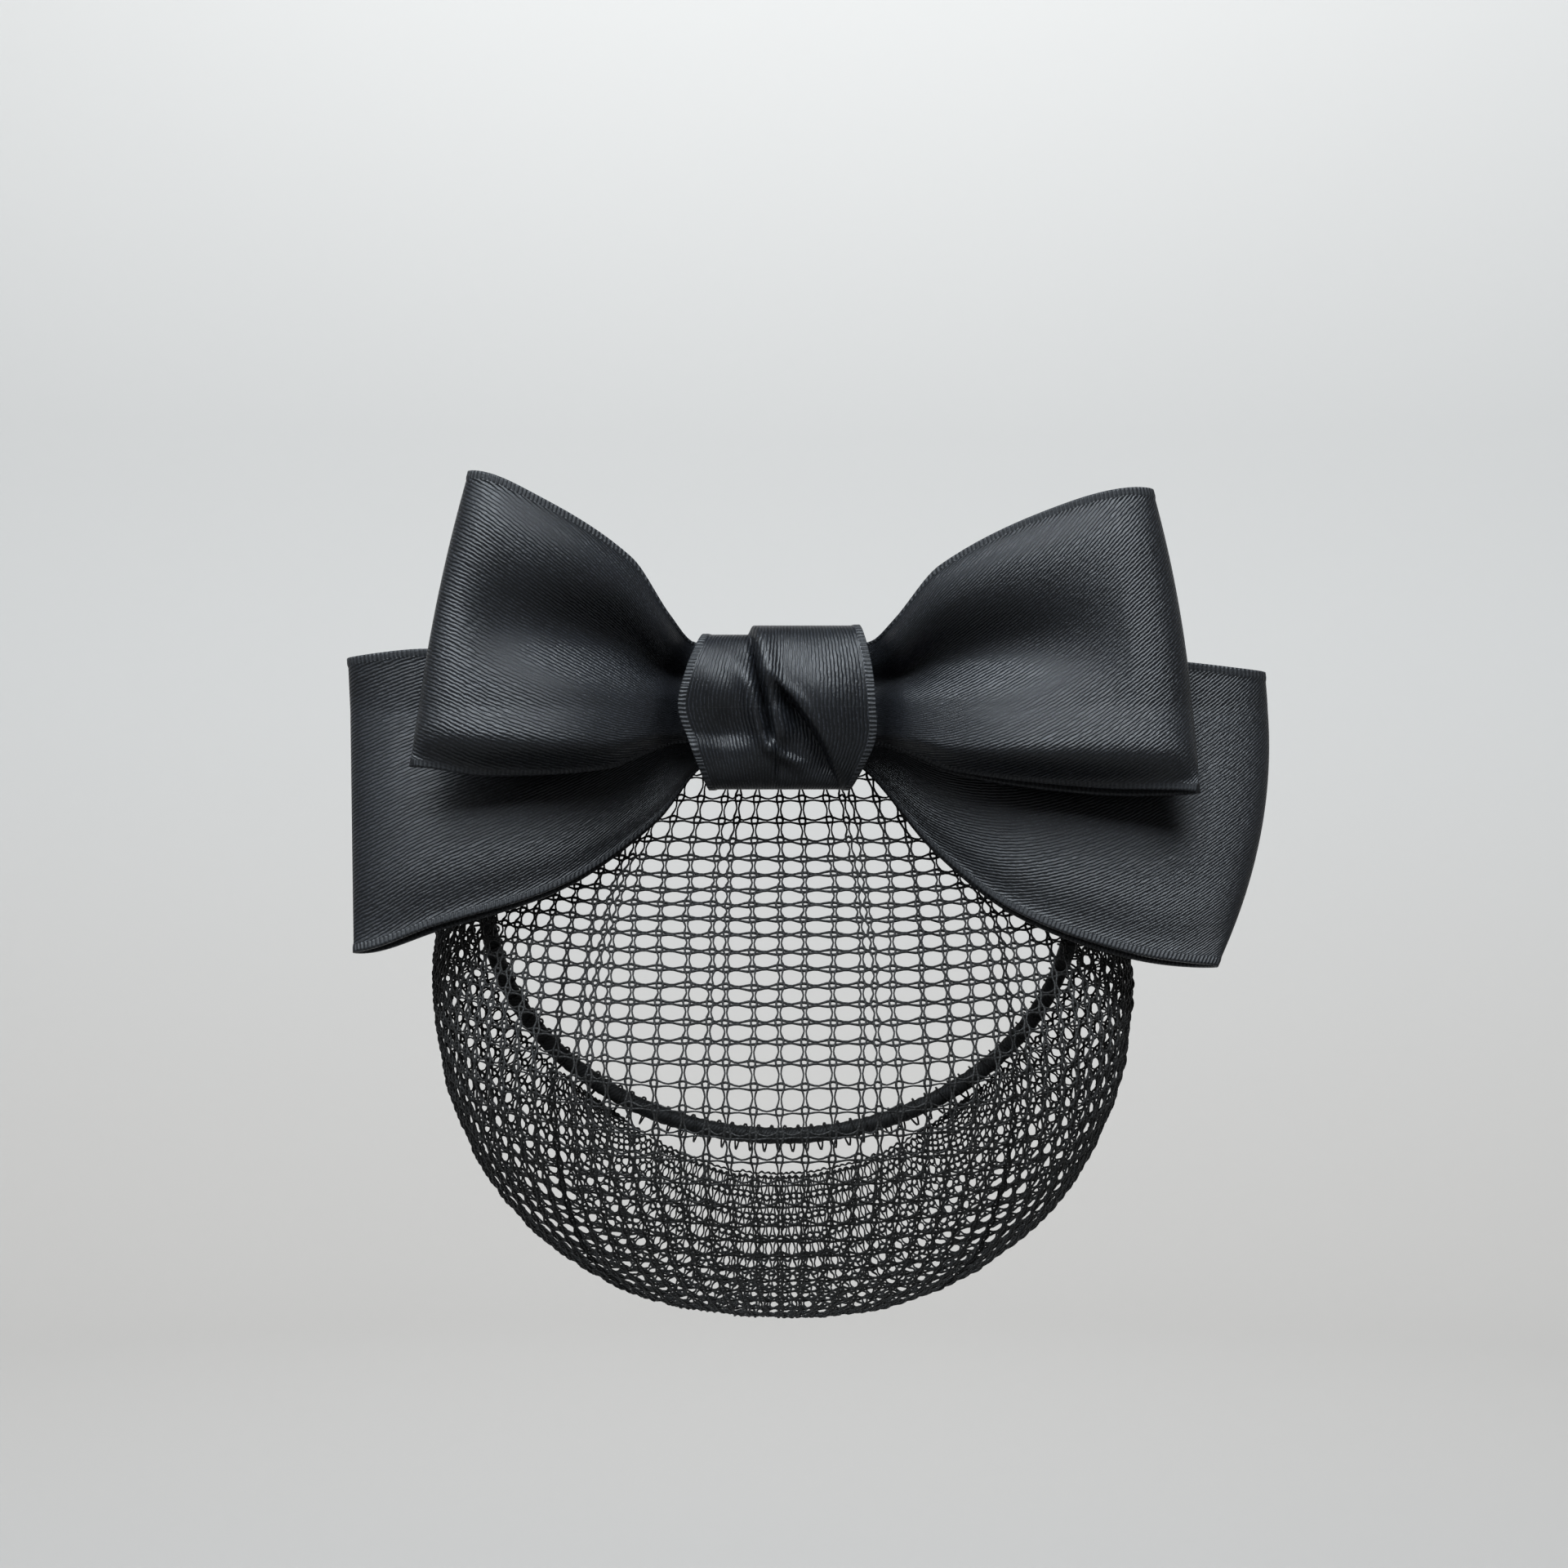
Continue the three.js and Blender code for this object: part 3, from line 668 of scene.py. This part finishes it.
def column_place(share, row):
    """Where a column that is cut at share (-1 to 1) comes to lie across the pouch, on a given row."""
    spread_out = 0.3 * (1 - smooth_step(row, 0.1, 0.45))
    place = share + spread_out * share * (1 - np.abs(share)) ** 2
    pleated = 1 - smooth_step(row, 0.3, 0.75)
    for at, spread, strength in PLEATS:
        place = place - strength * pleated * (place - at) * ridge(place - at, 2 * spread)
    return place


dense_row = np.linspace(0, 1, 801)
middle_line = net_surface(dense_row, np.zeros_like(dense_row))
line_length = np.concatenate([[0], np.cumsum(np.linalg.norm(np.diff(middle_line, axis=0), axis=-1))])


def row_place(share):
    """The net's row at a share of the length down its middle."""
    return np.interp(share * line_length[-1], line_length, dense_row)


row_pitch = line_length[-1] / NET_ROWS
print(f"the net is {line_length[-1]:.0f} mm long down its middle: {row_pitch:.2f} mm a row")


def net_point(column, row):
    """Points on the cloth of the net, at any place counted in columns and rows."""
    row_share = row_place(np.clip(row / NET_ROWS, 0, 1))
    share = np.clip(2 * column / NET_COLUMNS - 1, -1, 1)
    place = column_place(share, row_share)
    points = net_surface(np.clip(row_share, 0.001, 0.999), np.clip(place, -0.999, 0.999))
    # Small pleats run down from the clip, and the lower half is lightly dented
    pleated = 1 - smooth_step(row_share, 0.25, 0.6)
    pleats = np.sin(2 * math.pi * (place * 6.5 + 0.1)) * np.sin(2 * math.pi * (place * 2.3 + 0.3))
    dented = smooth_step(row_share, 0.2, 0.5)
    dents = np.sin(place * 9 + 3.2 * row_share) * np.sin(row_share * 17 + 2.1 * place)
    points[..., 1] += PLEAT_HEIGHT * pleated * pleats + DENT_HEIGHT * dented * dents
    return points


# %% [markdown]
# ## Tying the net from yarn
#
# Each wall between two cells is a pair of fine yarns. They lie close together in the middle of the wall
# and part at its ends, where they loop round the yarns of the crossing wall and are a little thicker.
# That is what rounds the corners of the cells. Every yarn is swept as a thin tube along its path, all
# paths at once. Tiny random shifts of the crossings, from a fixed seed, keep the cells from looking
# printed.

# %% Yarn tubes
YARN_RADIUS = 0.135
YARN_SIDES = 4
YARN_STEPS = 6
WALL_SPLIT = 0.13
LOOP_SPLIT = 0.43
LOOP_SWELL = 0.4
ROW_SAG = 0.15
ROW_LIFT = 0.1
COLUMN_LIFT = -0.06
TWIST_LIFT = 0.1
CROSSING_SHIFT = 0.09
CROSSING_RISE = 0.1


def yarn_tubes(paths, facing, radius):
    """Points of open tubes along many paths. facing is a direction near each path's own normal."""
    along = unit(np.gradient(paths, axis=1))
    side = unit(np.cross(along, facing))
    up = np.cross(side, along)
    angle = 2 * math.pi * (np.arange(YARN_SIDES) + 0.5) / YARN_SIDES
    ring = side[..., None, :] * np.cos(angle)[:, None] + up[..., None, :] * np.sin(angle)[:, None]
    return paths[..., None, :] + ring * np.asarray(radius)[..., None, None]


def tube_faces(path_count, step_count):
    """Faces of many tubes whose points follow one another."""
    one = grid_faces(step_count, YARN_SIDES, False, True)
    start = np.arange(path_count) * step_count * YARN_SIDES
    return (one[None] + start[:, None, None]).reshape(-1, 4)


random = np.random.default_rng(7)
crossing_shift = random.normal(0, CROSSING_SHIFT, (NET_COLUMNS + 1, NET_ROWS + 1, 2))
crossing_rise = random.normal(0, CROSSING_RISE, (NET_COLUMNS + 1, NET_ROWS + 1))


def shift_at(column, row):
    """The random shift at any place, blended between the four crossings round it."""
    c0 = np.clip(np.floor(column).astype(int), 0, NET_COLUMNS - 1)
    r0 = np.clip(np.floor(row).astype(int), 0, NET_ROWS - 1)
    c, r = (column - c0)[..., None], (row - r0)[..., None]
    table = np.concatenate([crossing_shift, crossing_rise[..., None]], axis=-1)
    near = mix(table[c0, r0], table[c0 + 1, r0], c)
    far = mix(table[c0, r0 + 1], table[c0 + 1, r0 + 1], c)
    return mix(near, far, r)


def net_frame(column, row):
    """Points of the net, with the unit directions across, down and out of it."""
    small = 0.05
    across = unit(net_point(column + small, row) - net_point(column - small, row))
    down = unit(net_point(column, row + small) - net_point(column, row - small))
    return net_point(column, row), across, down, unit(np.cross(across, down))


def yarn_paths(first_column, last_column):
    """Paths, facings and radii of the yarns between two columns: first the rows', then the columns'."""
    made = []
    row_columns = np.arange((last_column - first_column) * YARN_STEPS + 1) / YARN_STEPS + first_column
    column_rows = np.arange(NET_ROWS * YARN_STEPS + 1) / YARN_STEPS
    lines = {
        "row": np.meshgrid(row_columns, np.arange(NET_ROWS + 1.0), indexing="xy"),
        "column": np.meshgrid(np.arange(first_column, last_column + 1.0), column_rows, indexing="ij"),
    }
    for kind, (column, row) in lines.items():
        counted = column if kind == "row" else row
        near_loop = np.cos(math.pi * counted) ** 2
        sag = ROW_SAG * np.abs(np.sin(math.pi * column)) ** 1.5
        shift = shift_at(column, row)
        point, across, down, out = net_frame(column, row)
        beside = down if kind == "row" else across
        twist = np.sin(2 * math.pi * (counted - 0.5))
        for hand in (-1, 1):
            split = hand * mix(WALL_SPLIT, LOOP_SPLIT, near_loop)
            lift = hand * TWIST_LIFT * twist + (ROW_LIFT if kind == "row" else COLUMN_LIFT) * near_loop
            path = point + beside * split[..., None] + out * (lift + shift[..., 2])[..., None]
            path = path + across * shift[..., :1] + down * shift[..., 1:2]
            if kind == "row":
                path = path + down * sag[..., None]
            radius = YARN_RADIUS * (1 + LOOP_SWELL * near_loop)
            made.append((path, out, radius))
    return made


def make_net_part(name, first_column, last_column):
    """A strip of the net between two columns, as one mesh of yarns."""
    points, faces, cloth = [], [], []
    count = 0
    for path, facing, radius in yarn_paths(first_column, last_column):
        tubes = yarn_tubes(path, facing, radius)
        paths, steps = tubes.shape[:2]
        length = np.linalg.norm(np.diff(path, axis=1), axis=-1).mean() * np.arange(steps)
        numbers = np.zeros(tubes.shape)
        numbers[..., 0] = length[None, :, None]
        numbers[..., 1] = np.arange(YARN_SIDES) / YARN_SIDES
        numbers[..., 2] = np.arange(paths)[:, None, None]
        points.append(tubes.reshape(-1, 3))
        cloth.append(numbers.reshape(-1, 3))
        faces.append(tube_faces(paths, steps) + count)
        count += paths * steps * YARN_SIDES
    return new_object(name, np.concatenate(points), np.concatenate(faces), np.concatenate(cloth))


STRIP_COLUMNS = 20
net_parts = [
    make_net_part(name, strip * STRIP_COLUMNS, (strip + 1) * STRIP_COLUMNS)
    for strip, name in enumerate(["net_left", "net_middle", "net_right"])
]

# %% [markdown]
# ## The elastic round the mouth
#
# A round elastic cord runs from one end of the clip down round the mouth to the other end, and the
# net's edge is sewn over it. The cord is a braid: its strands show as a fine crossing relief. A sewing
# yarn winds round cord and net edge together and holds them. Both are swept along the same ellipse.

# %% Elastic and its binding yarn
ELASTIC_STEPS = 420
ELASTIC_SIDES = 20
BRAID_RELIEF = 0.07
BRAID_PITCH = 5.5
BRAID_STRANDS = 4
BINDING_PITCH = 1.9
BINDING_STEPS = 14
BINDING_RADIUS = 0.16
BINDING_SLACK = 0.05
BINDING_SWING = 0.95

end_height = -CLIP_HEIGHT / 2 - PIECE_GAP - ELASTIC_TUCK
end_angle = math.acos((-MOUTH_CENTRE_DROP - end_height) / MOUTH_HALF_HEIGHT)
mouth_angle = np.linspace(-end_angle, end_angle, ELASTIC_STEPS)
mouth_line = np.stack(mouth_point(mouth_angle, 0), axis=-1)
mouth_steps = np.linalg.norm(np.diff(mouth_line, axis=0), axis=-1)
mouth_length = np.concatenate([[0], np.cumsum(mouth_steps)])
print(f"elastic: {mouth_length[-1]:.0f} mm of cord round the mouth")


def mouth_frame(angle):
    """Directions out from the mouth's centre, and across the mouth's plane, at each angle."""
    small = 1e-3
    along = unit(np.stack(mouth_point(angle + small, 0), -1) - np.stack(mouth_point(angle - small, 0), -1))
    outward = unit(np.stack(mouth_point(angle, 1), -1) - np.stack(mouth_point(angle, 0), -1))
    return outward, np.cross(along, outward)


def capped_tube(name, rings, cloth):
    """A tube whose two ends close in to a point."""
    first = rings[:1].mean(axis=1, keepdims=True).repeat(rings.shape[1], axis=1)
    last = rings[-1:].mean(axis=1, keepdims=True).repeat(rings.shape[1], axis=1)
    points = np.concatenate([first, rings, last])
    numbers = np.concatenate([cloth[:1], cloth, cloth[-1:]])
    return new_object(name, points, grid_faces(len(points), rings.shape[1], False, True), numbers)


def make_elastic():
    """The braided cord. Its strands run round it in both directions."""
    outward, sideways = mouth_frame(mouth_angle)
    angle = 2 * math.pi * np.arange(ELASTIC_SIDES) / ELASTIC_SIDES
    braid_turn = mouth_length[:, None] * 2 * math.pi / BRAID_PITCH
    one_way = np.sin(BRAID_STRANDS * (angle + braid_turn))
    other_way = np.sin(BRAID_STRANDS * (angle - braid_turn))
    braid = np.maximum(one_way, other_way)
    radius = ELASTIC_DIAMETER / 2 - BRAID_RELIEF + BRAID_RELIEF * braid
    ring = outward[:, None] * np.cos(angle)[:, None] + sideways[:, None] * np.sin(angle)[:, None]
    rings = mouth_line[:, None] + ring * radius[..., None]
    numbers = np.stack(np.broadcast_arrays(
        mouth_length[:, None], angle * ELASTIC_DIAMETER / 2, braid), axis=-1)
    return capped_tube("elastic_cord", rings, numbers)


def make_binding():
    """The sewing yarn that winds round the cord and the net's edge."""
    turns = mouth_length[-1] / BINDING_PITCH
    count = int(turns * BINDING_STEPS)
    at = np.linspace(0, 1, count)
    angle = np.interp(at * mouth_length[-1], mouth_length, mouth_angle)
    outward, sideways = mouth_frame(angle)
    wound = 2 * math.pi * turns * at
    reach = ELASTIC_DIAMETER / 2 + BINDING_RADIUS + BINDING_SLACK
    # The yarn swings out once a turn, to take in the net's edge
    towards_net = np.maximum(0, np.cos(wound)) ** 2
    centre = np.stack(mouth_point(angle, 0), -1)
    path = centre + outward * (reach * np.cos(wound) + BINDING_SWING * towards_net)[:, None]
    path = path + sideways * (reach * np.sin(wound))[:, None]
    radial = unit(outward * np.cos(wound)[:, None] + sideways * np.sin(wound)[:, None])
    rings = yarn_tubes(path[None], radial[None], np.full((1, count), BINDING_RADIUS))[0]
    lengths = np.concatenate([[0], np.cumsum(np.linalg.norm(np.diff(path, axis=0), axis=-1))])
    numbers = np.zeros(rings.shape)
    numbers[..., 0] = lengths[:, None]
    return capped_tube("mouth_binding", rings, numbers)


elastic = make_elastic()
binding = make_binding()

# %% [markdown]
# ## Black satin
#
# Satin ribbon shows three things at this distance: a fine twill, about half a millimetre from line to
# line, tiny bright glints where the long floating threads catch the light, and a firmer ribbed selvage
# on each edge. The twill is a wave on the third cloth number, broken up by noise into short floats.
# Most of its light comes from a broad soft gloss, so the colour itself stays very dark; the glints are
# the exception, painted into the colour as small lighter spots, a painted highlight.

# %% Satin finish
TWILL_PITCH = 0.5
RIB_PITCH = 0.58
# From very dark to lighter satin. The lighter end is mostly a painted glint on the floats, partly random
# uneven tone.
SATIN_DARK = (0.0015, 0.0016, 0.0019, 1)
SATIN_GLINT_AND_TONE = (0.021, 0.0228, 0.027, 1)
SELVAGE_LIGHT = (0.015, 0.0157, 0.017, 1)


def satin_finish(name, width):
    """Black satin for a ribbon of one width. The bump's distance is in metres."""
    finish = Finish(name)
    vector, (along, across, twill_place) = finish.cloth()
    glints = finish.noise(vector, 3.4, 2.0)
    uneven = finish.noise(vector, 0.12, 2.0)
    wobble = finish.noise(vector, 0.9, 1.0)
    twill = (twill_place + wobble * 0.35).wave(TWILL_PITCH) * 0.5 + 0.5
    floats = twill * (0.3 + glints * 1.4)

    from_edge = ((across - width / 2).math("ABSOLUTE") * -1) + width / 2
    selvage = 1 - from_edge.step(SELVAGE_WIDTH - 0.2, SELVAGE_WIDTH + 0.05)
    ribs = (along + wobble * 0.2).wave(RIB_PITCH) * 0.5 + 0.5
    relief = floats + selvage * (ribs * 1.5 - floats)

    sparkle = (glints * twill).step(0.34, 0.62)
    # The base colour is lightened where the glints fall, a painted highlight, and a little by random uneven
    # tone.
    woven = finish.blend(sparkle * 0.75 + uneven * 0.2, SATIN_DARK, SATIN_GLINT_AND_TONE)
    colour = finish.blend(selvage * ribs * 0.8, woven, SELVAGE_LIGHT)
    roughness = 0.4 - sparkle * 0.1 + selvage * 0.12
    normal = finish.bump(relief, 0.00008, 0.8)
    return finish.surface({
        "Base Color": colour, "Roughness": roughness, "Normal": normal,
        "Specular IOR Level": 0.2,
    })


satin = satin_finish("black_satin", RIBBON_WIDTH)
knot_satin = satin_finish("black_satin_knot", KNOT_RIBBON_WIDTH)
dress(upper_ribbon, "upper_bow", satin)
dress(lower_ribbon, "lower_bow", satin)
dress(knot_ribbon, "knot_wrap", knot_satin)

# %% [markdown]
# ## Yarn, elastic and steel
#
# The net's yarn is two filaments twisted together, so its colour and relief run in short slanting
# stripes. The elastic is the same black in a duller braid. The clip is plain spring steel: the CAD
# solid has the right shape already, so it stays and takes a brushed finish, with fine lines along it.

# %% Yarn finish
YARN_DARK = (0.0018, 0.0017, 0.0016, 1)
YARN_LIGHT = (0.011, 0.0108, 0.0105, 1)
CORD_DARK = (0.002, 0.002, 0.002, 1)
CORD_LIGHT = (0.009, 0.009, 0.0092, 1)


def yarn_finish(name, twist_pitch, dark, light):
    """Black yarn that is twisted once in every pitch."""
    finish = Finish(name)
    vector, (along, around, _) = finish.cloth()
    fuzz = finish.noise(vector, 3.0, 2.0)
    stripes = (along + around * twist_pitch).wave(twist_pitch) * 0.5 + 0.5
    share = stripes * 0.6 + fuzz * 0.5
    normal = finish.bump(stripes + fuzz * 0.5, 0.00004, 0.6)
    return finish.surface({
        "Base Color": finish.blend(share, dark, light), "Roughness": 0.72 - stripes * 0.18,
        "Normal": normal, "Specular IOR Level": 0.18,
    })


net_yarn = yarn_finish("net_yarn", 0.4, YARN_DARK, YARN_LIGHT)
cord_yarn = yarn_finish("elastic_braid", 0.5, CORD_DARK, CORD_LIGHT)
for part in net_parts:
    dress(part, "net_bag", net_yarn)
dress(elastic, "mouth_elastic", cord_yarn)
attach(binding, "root")
binding.data.materials.append(net_yarn)


# %% Steel finish
STEEL_DARK = (0.3, 0.31, 0.32, 1)
STEEL_LIGHT = (0.56, 0.57, 0.58, 1)
# The brushed lines are long along the clip and very fine across it
BRUSH_SCALE = (40, 2500, 2500)


def steel_finish():
    """Spring steel, brushed along the clip."""
    finish = Finish("brushed_steel")
    place = finish.node("ShaderNodeNewGeometry", {}, {}, "Position")
    stretch = finish.node("ShaderNodeVectorMath", {"operation": "MULTIPLY"},
                          {0: place, 1: BRUSH_SCALE}, "Vector")
    lines = finish.noise(stretch, 1.0, 3.0)
    clouds = finish.noise(place, 90.0, 2.0)
    colour = finish.blend(lines * 0.5 + clouds * 0.4, STEEL_DARK, STEEL_LIGHT)
    normal = finish.bump(lines, 0.00003, 0.4)
    return finish.surface({
        "Base Color": colour, "Metallic": 1.0, "Roughness": 0.26 + lines * 0.2, "Normal": normal,
    })


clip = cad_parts["hair_clip"]
clip.data.materials.clear()
clip.data.materials.append(steel_finish())
print("the clip keeps its CAD shape")

# %% [markdown]
# ## What is cloth
#
# Each ribbon and each strip of the net is a sheet that was flat before it was sewn.

# %% [markdown]
# ## Floor, light and camera
#
# The photo was taken level with the net, against a pale wall, under soft light from above. The room here
# is a wide bowl of paper: a round floor that curves up into a wall all round, so no view shows a horizon
# or an edge. The paper is a middle grey. Four lights face its wall and turn away from the object, the
# strongest at the back, so the wall behind the object looks pale while the rest of the room stays dim
# and gives the dark folds of the satin little to reflect. A light above and in front makes the gloss on
# the folds, and a weak one fills from the left.

# %% Floor and wall
FLOOR_HEIGHT = -250
FLOOR_RADIUS = 900
FLOOR_CENTRE = 1
SWEEP_RADIUS = 450
SWEEP_STEPS = 24
WALL_TOP = 1500
WALL_SIDES = 96
WALL_TINT_TOP = 100
PAPER_FLOOR = (0.268, 0.263, 0.257, 1)
PAPER_WALL = (0.295, 0.3, 0.302, 1)


def make_bowl():
    """A round floor that curves up into a wall all round the object."""
    angle = np.linspace(0, math.pi / 2, SWEEP_STEPS)
    radius = np.concatenate([[FLOOR_CENTRE], FLOOR_RADIUS + SWEEP_RADIUS * np.sin(angle)])
    height = np.concatenate([[FLOOR_HEIGHT], FLOOR_HEIGHT + SWEEP_RADIUS * (1 - np.cos(angle))])
    radius = np.append(radius, radius[-1])
    height = np.append(height, WALL_TOP)
    turn = 2 * math.pi * np.arange(WALL_SIDES) / WALL_SIDES
    points = np.stack(np.broadcast_arrays(
        radius[:, None] * np.cos(turn), radius[:, None] * np.sin(turn), height[:, None]), axis=-1)
    return new_object("paper_bowl", points, grid_faces(len(radius), len(turn), False, True))


def paper_finish():
    """Matt paper, a little warmer and darker on the floor than on the wall."""
    finish = Finish("pale_paper")
    place = finish.node("ShaderNodeNewGeometry", {}, {}, "Position")
    height = finish.node("ShaderNodeSeparateXYZ", {}, {"Vector": place}, "Z")
    clouds = finish.noise(place, 1.3, 1.0)
    wall = height.step(FLOOR_HEIGHT * MM, WALL_TINT_TOP * MM)
    colour = finish.blend(wall * 0.8 + clouds * 0.2, PAPER_FLOOR, PAPER_WALL)
    return finish.surface({"Base Color": colour, "Roughness": 0.9})


bowl = make_bowl()
bowl.data.materials.append(paper_finish())


# %% Lights
LIGHT_TARGET = (0, -0.01, -0.02)
COOL_LIGHT = (0.85, 0.93, 1)
WARM_LIGHT = (1, 0.995, 0.985)
WALL_LIGHT_SIZE = 0.9
WALL_LIGHT_HEIGHT = 0.85
WALL_SPOT_DISTANCE = 1.3
WALL_SPOT_HEIGHT = 0.4
# Name, direction, distance from the middle in metres and strength in watts
WALL_LIGHTS = [
    ("back", (0, 1), 0.6, 25.0),
    ("front", (0, -1), 0.8, 8.0),
    ("left", (-1, 0), 0.8, 8.0),
    ("right", (1, 0), 0.8, 8.0),
]


def add_light(name, place, target, size, energy, colour):
    """A square area light at a place in metres, turned towards a target."""
    data = bpy.data.lights.new(name, "AREA")
    data.shape = "SQUARE"
    data.size = size
    data.energy = energy
    data.color = colour
    light = bpy.data.objects.new(name, data)
    light.location = place
    light.rotation_euler = (Vector(target) - Vector(place)).to_track_quat("-Z", "Y").to_euler()
    bpy.context.scene.collection.objects.link(light)


for name, (x, y), distance, energy in WALL_LIGHTS:
    place = (x * distance, y * distance, WALL_LIGHT_HEIGHT)
    spot = (x * WALL_SPOT_DISTANCE, y * WALL_SPOT_DISTANCE, WALL_SPOT_HEIGHT)
    add_light("light_wall_" + name, place, spot, WALL_LIGHT_SIZE, energy, WARM_LIGHT)
add_light("light_above", (-0.03, -0.33, 0.46), LIGHT_TARGET, 0.42, 12.5, COOL_LIGHT)
add_light("light_left", (-0.4, -0.25, 0.45), LIGHT_TARGET, 0.35, 2.4, COOL_LIGHT)
print("lights:", sorted(light.name for light in bpy.data.lights))

# %% World and camera
WORLD_COLOUR = (0.86, 0.9, 0.95, 1)
WORLD_STRENGTH = 0.02
# 9.3 pixels of the photo a millimetre, seen from 380 mm in front of the upper bow
CAMERA_PLACE = (0.0005, -0.392, -0.0097)
CAMERA_LENS = 66.3
CAMERA_SENSOR = 36

world = bpy.data.worlds.new("pale_room")
world.use_nodes = True
background = world.node_tree.nodes["Background"]
background.inputs["Color"].default_value = WORLD_COLOUR
background.inputs["Strength"].default_value = WORLD_STRENGTH
bpy.context.scene.world = world
bpy.context.scene.view_settings.view_transform = "Standard"

camera_data = bpy.data.cameras.new("photo_camera")
camera_data.lens = CAMERA_LENS
camera_data.sensor_width = CAMERA_SENSOR
camera_data.clip_start = 0.01
camera_data.clip_end = 20
camera = bpy.data.objects.new("photo_camera", camera_data)
camera.location = CAMERA_PLACE
camera.rotation_euler = (math.pi / 2, 0, 0)
bpy.context.scene.collection.objects.link(camera)
bpy.context.scene.camera = camera
print("camera:", camera.name, "with a lens of", CAMERA_LENS, "mm")
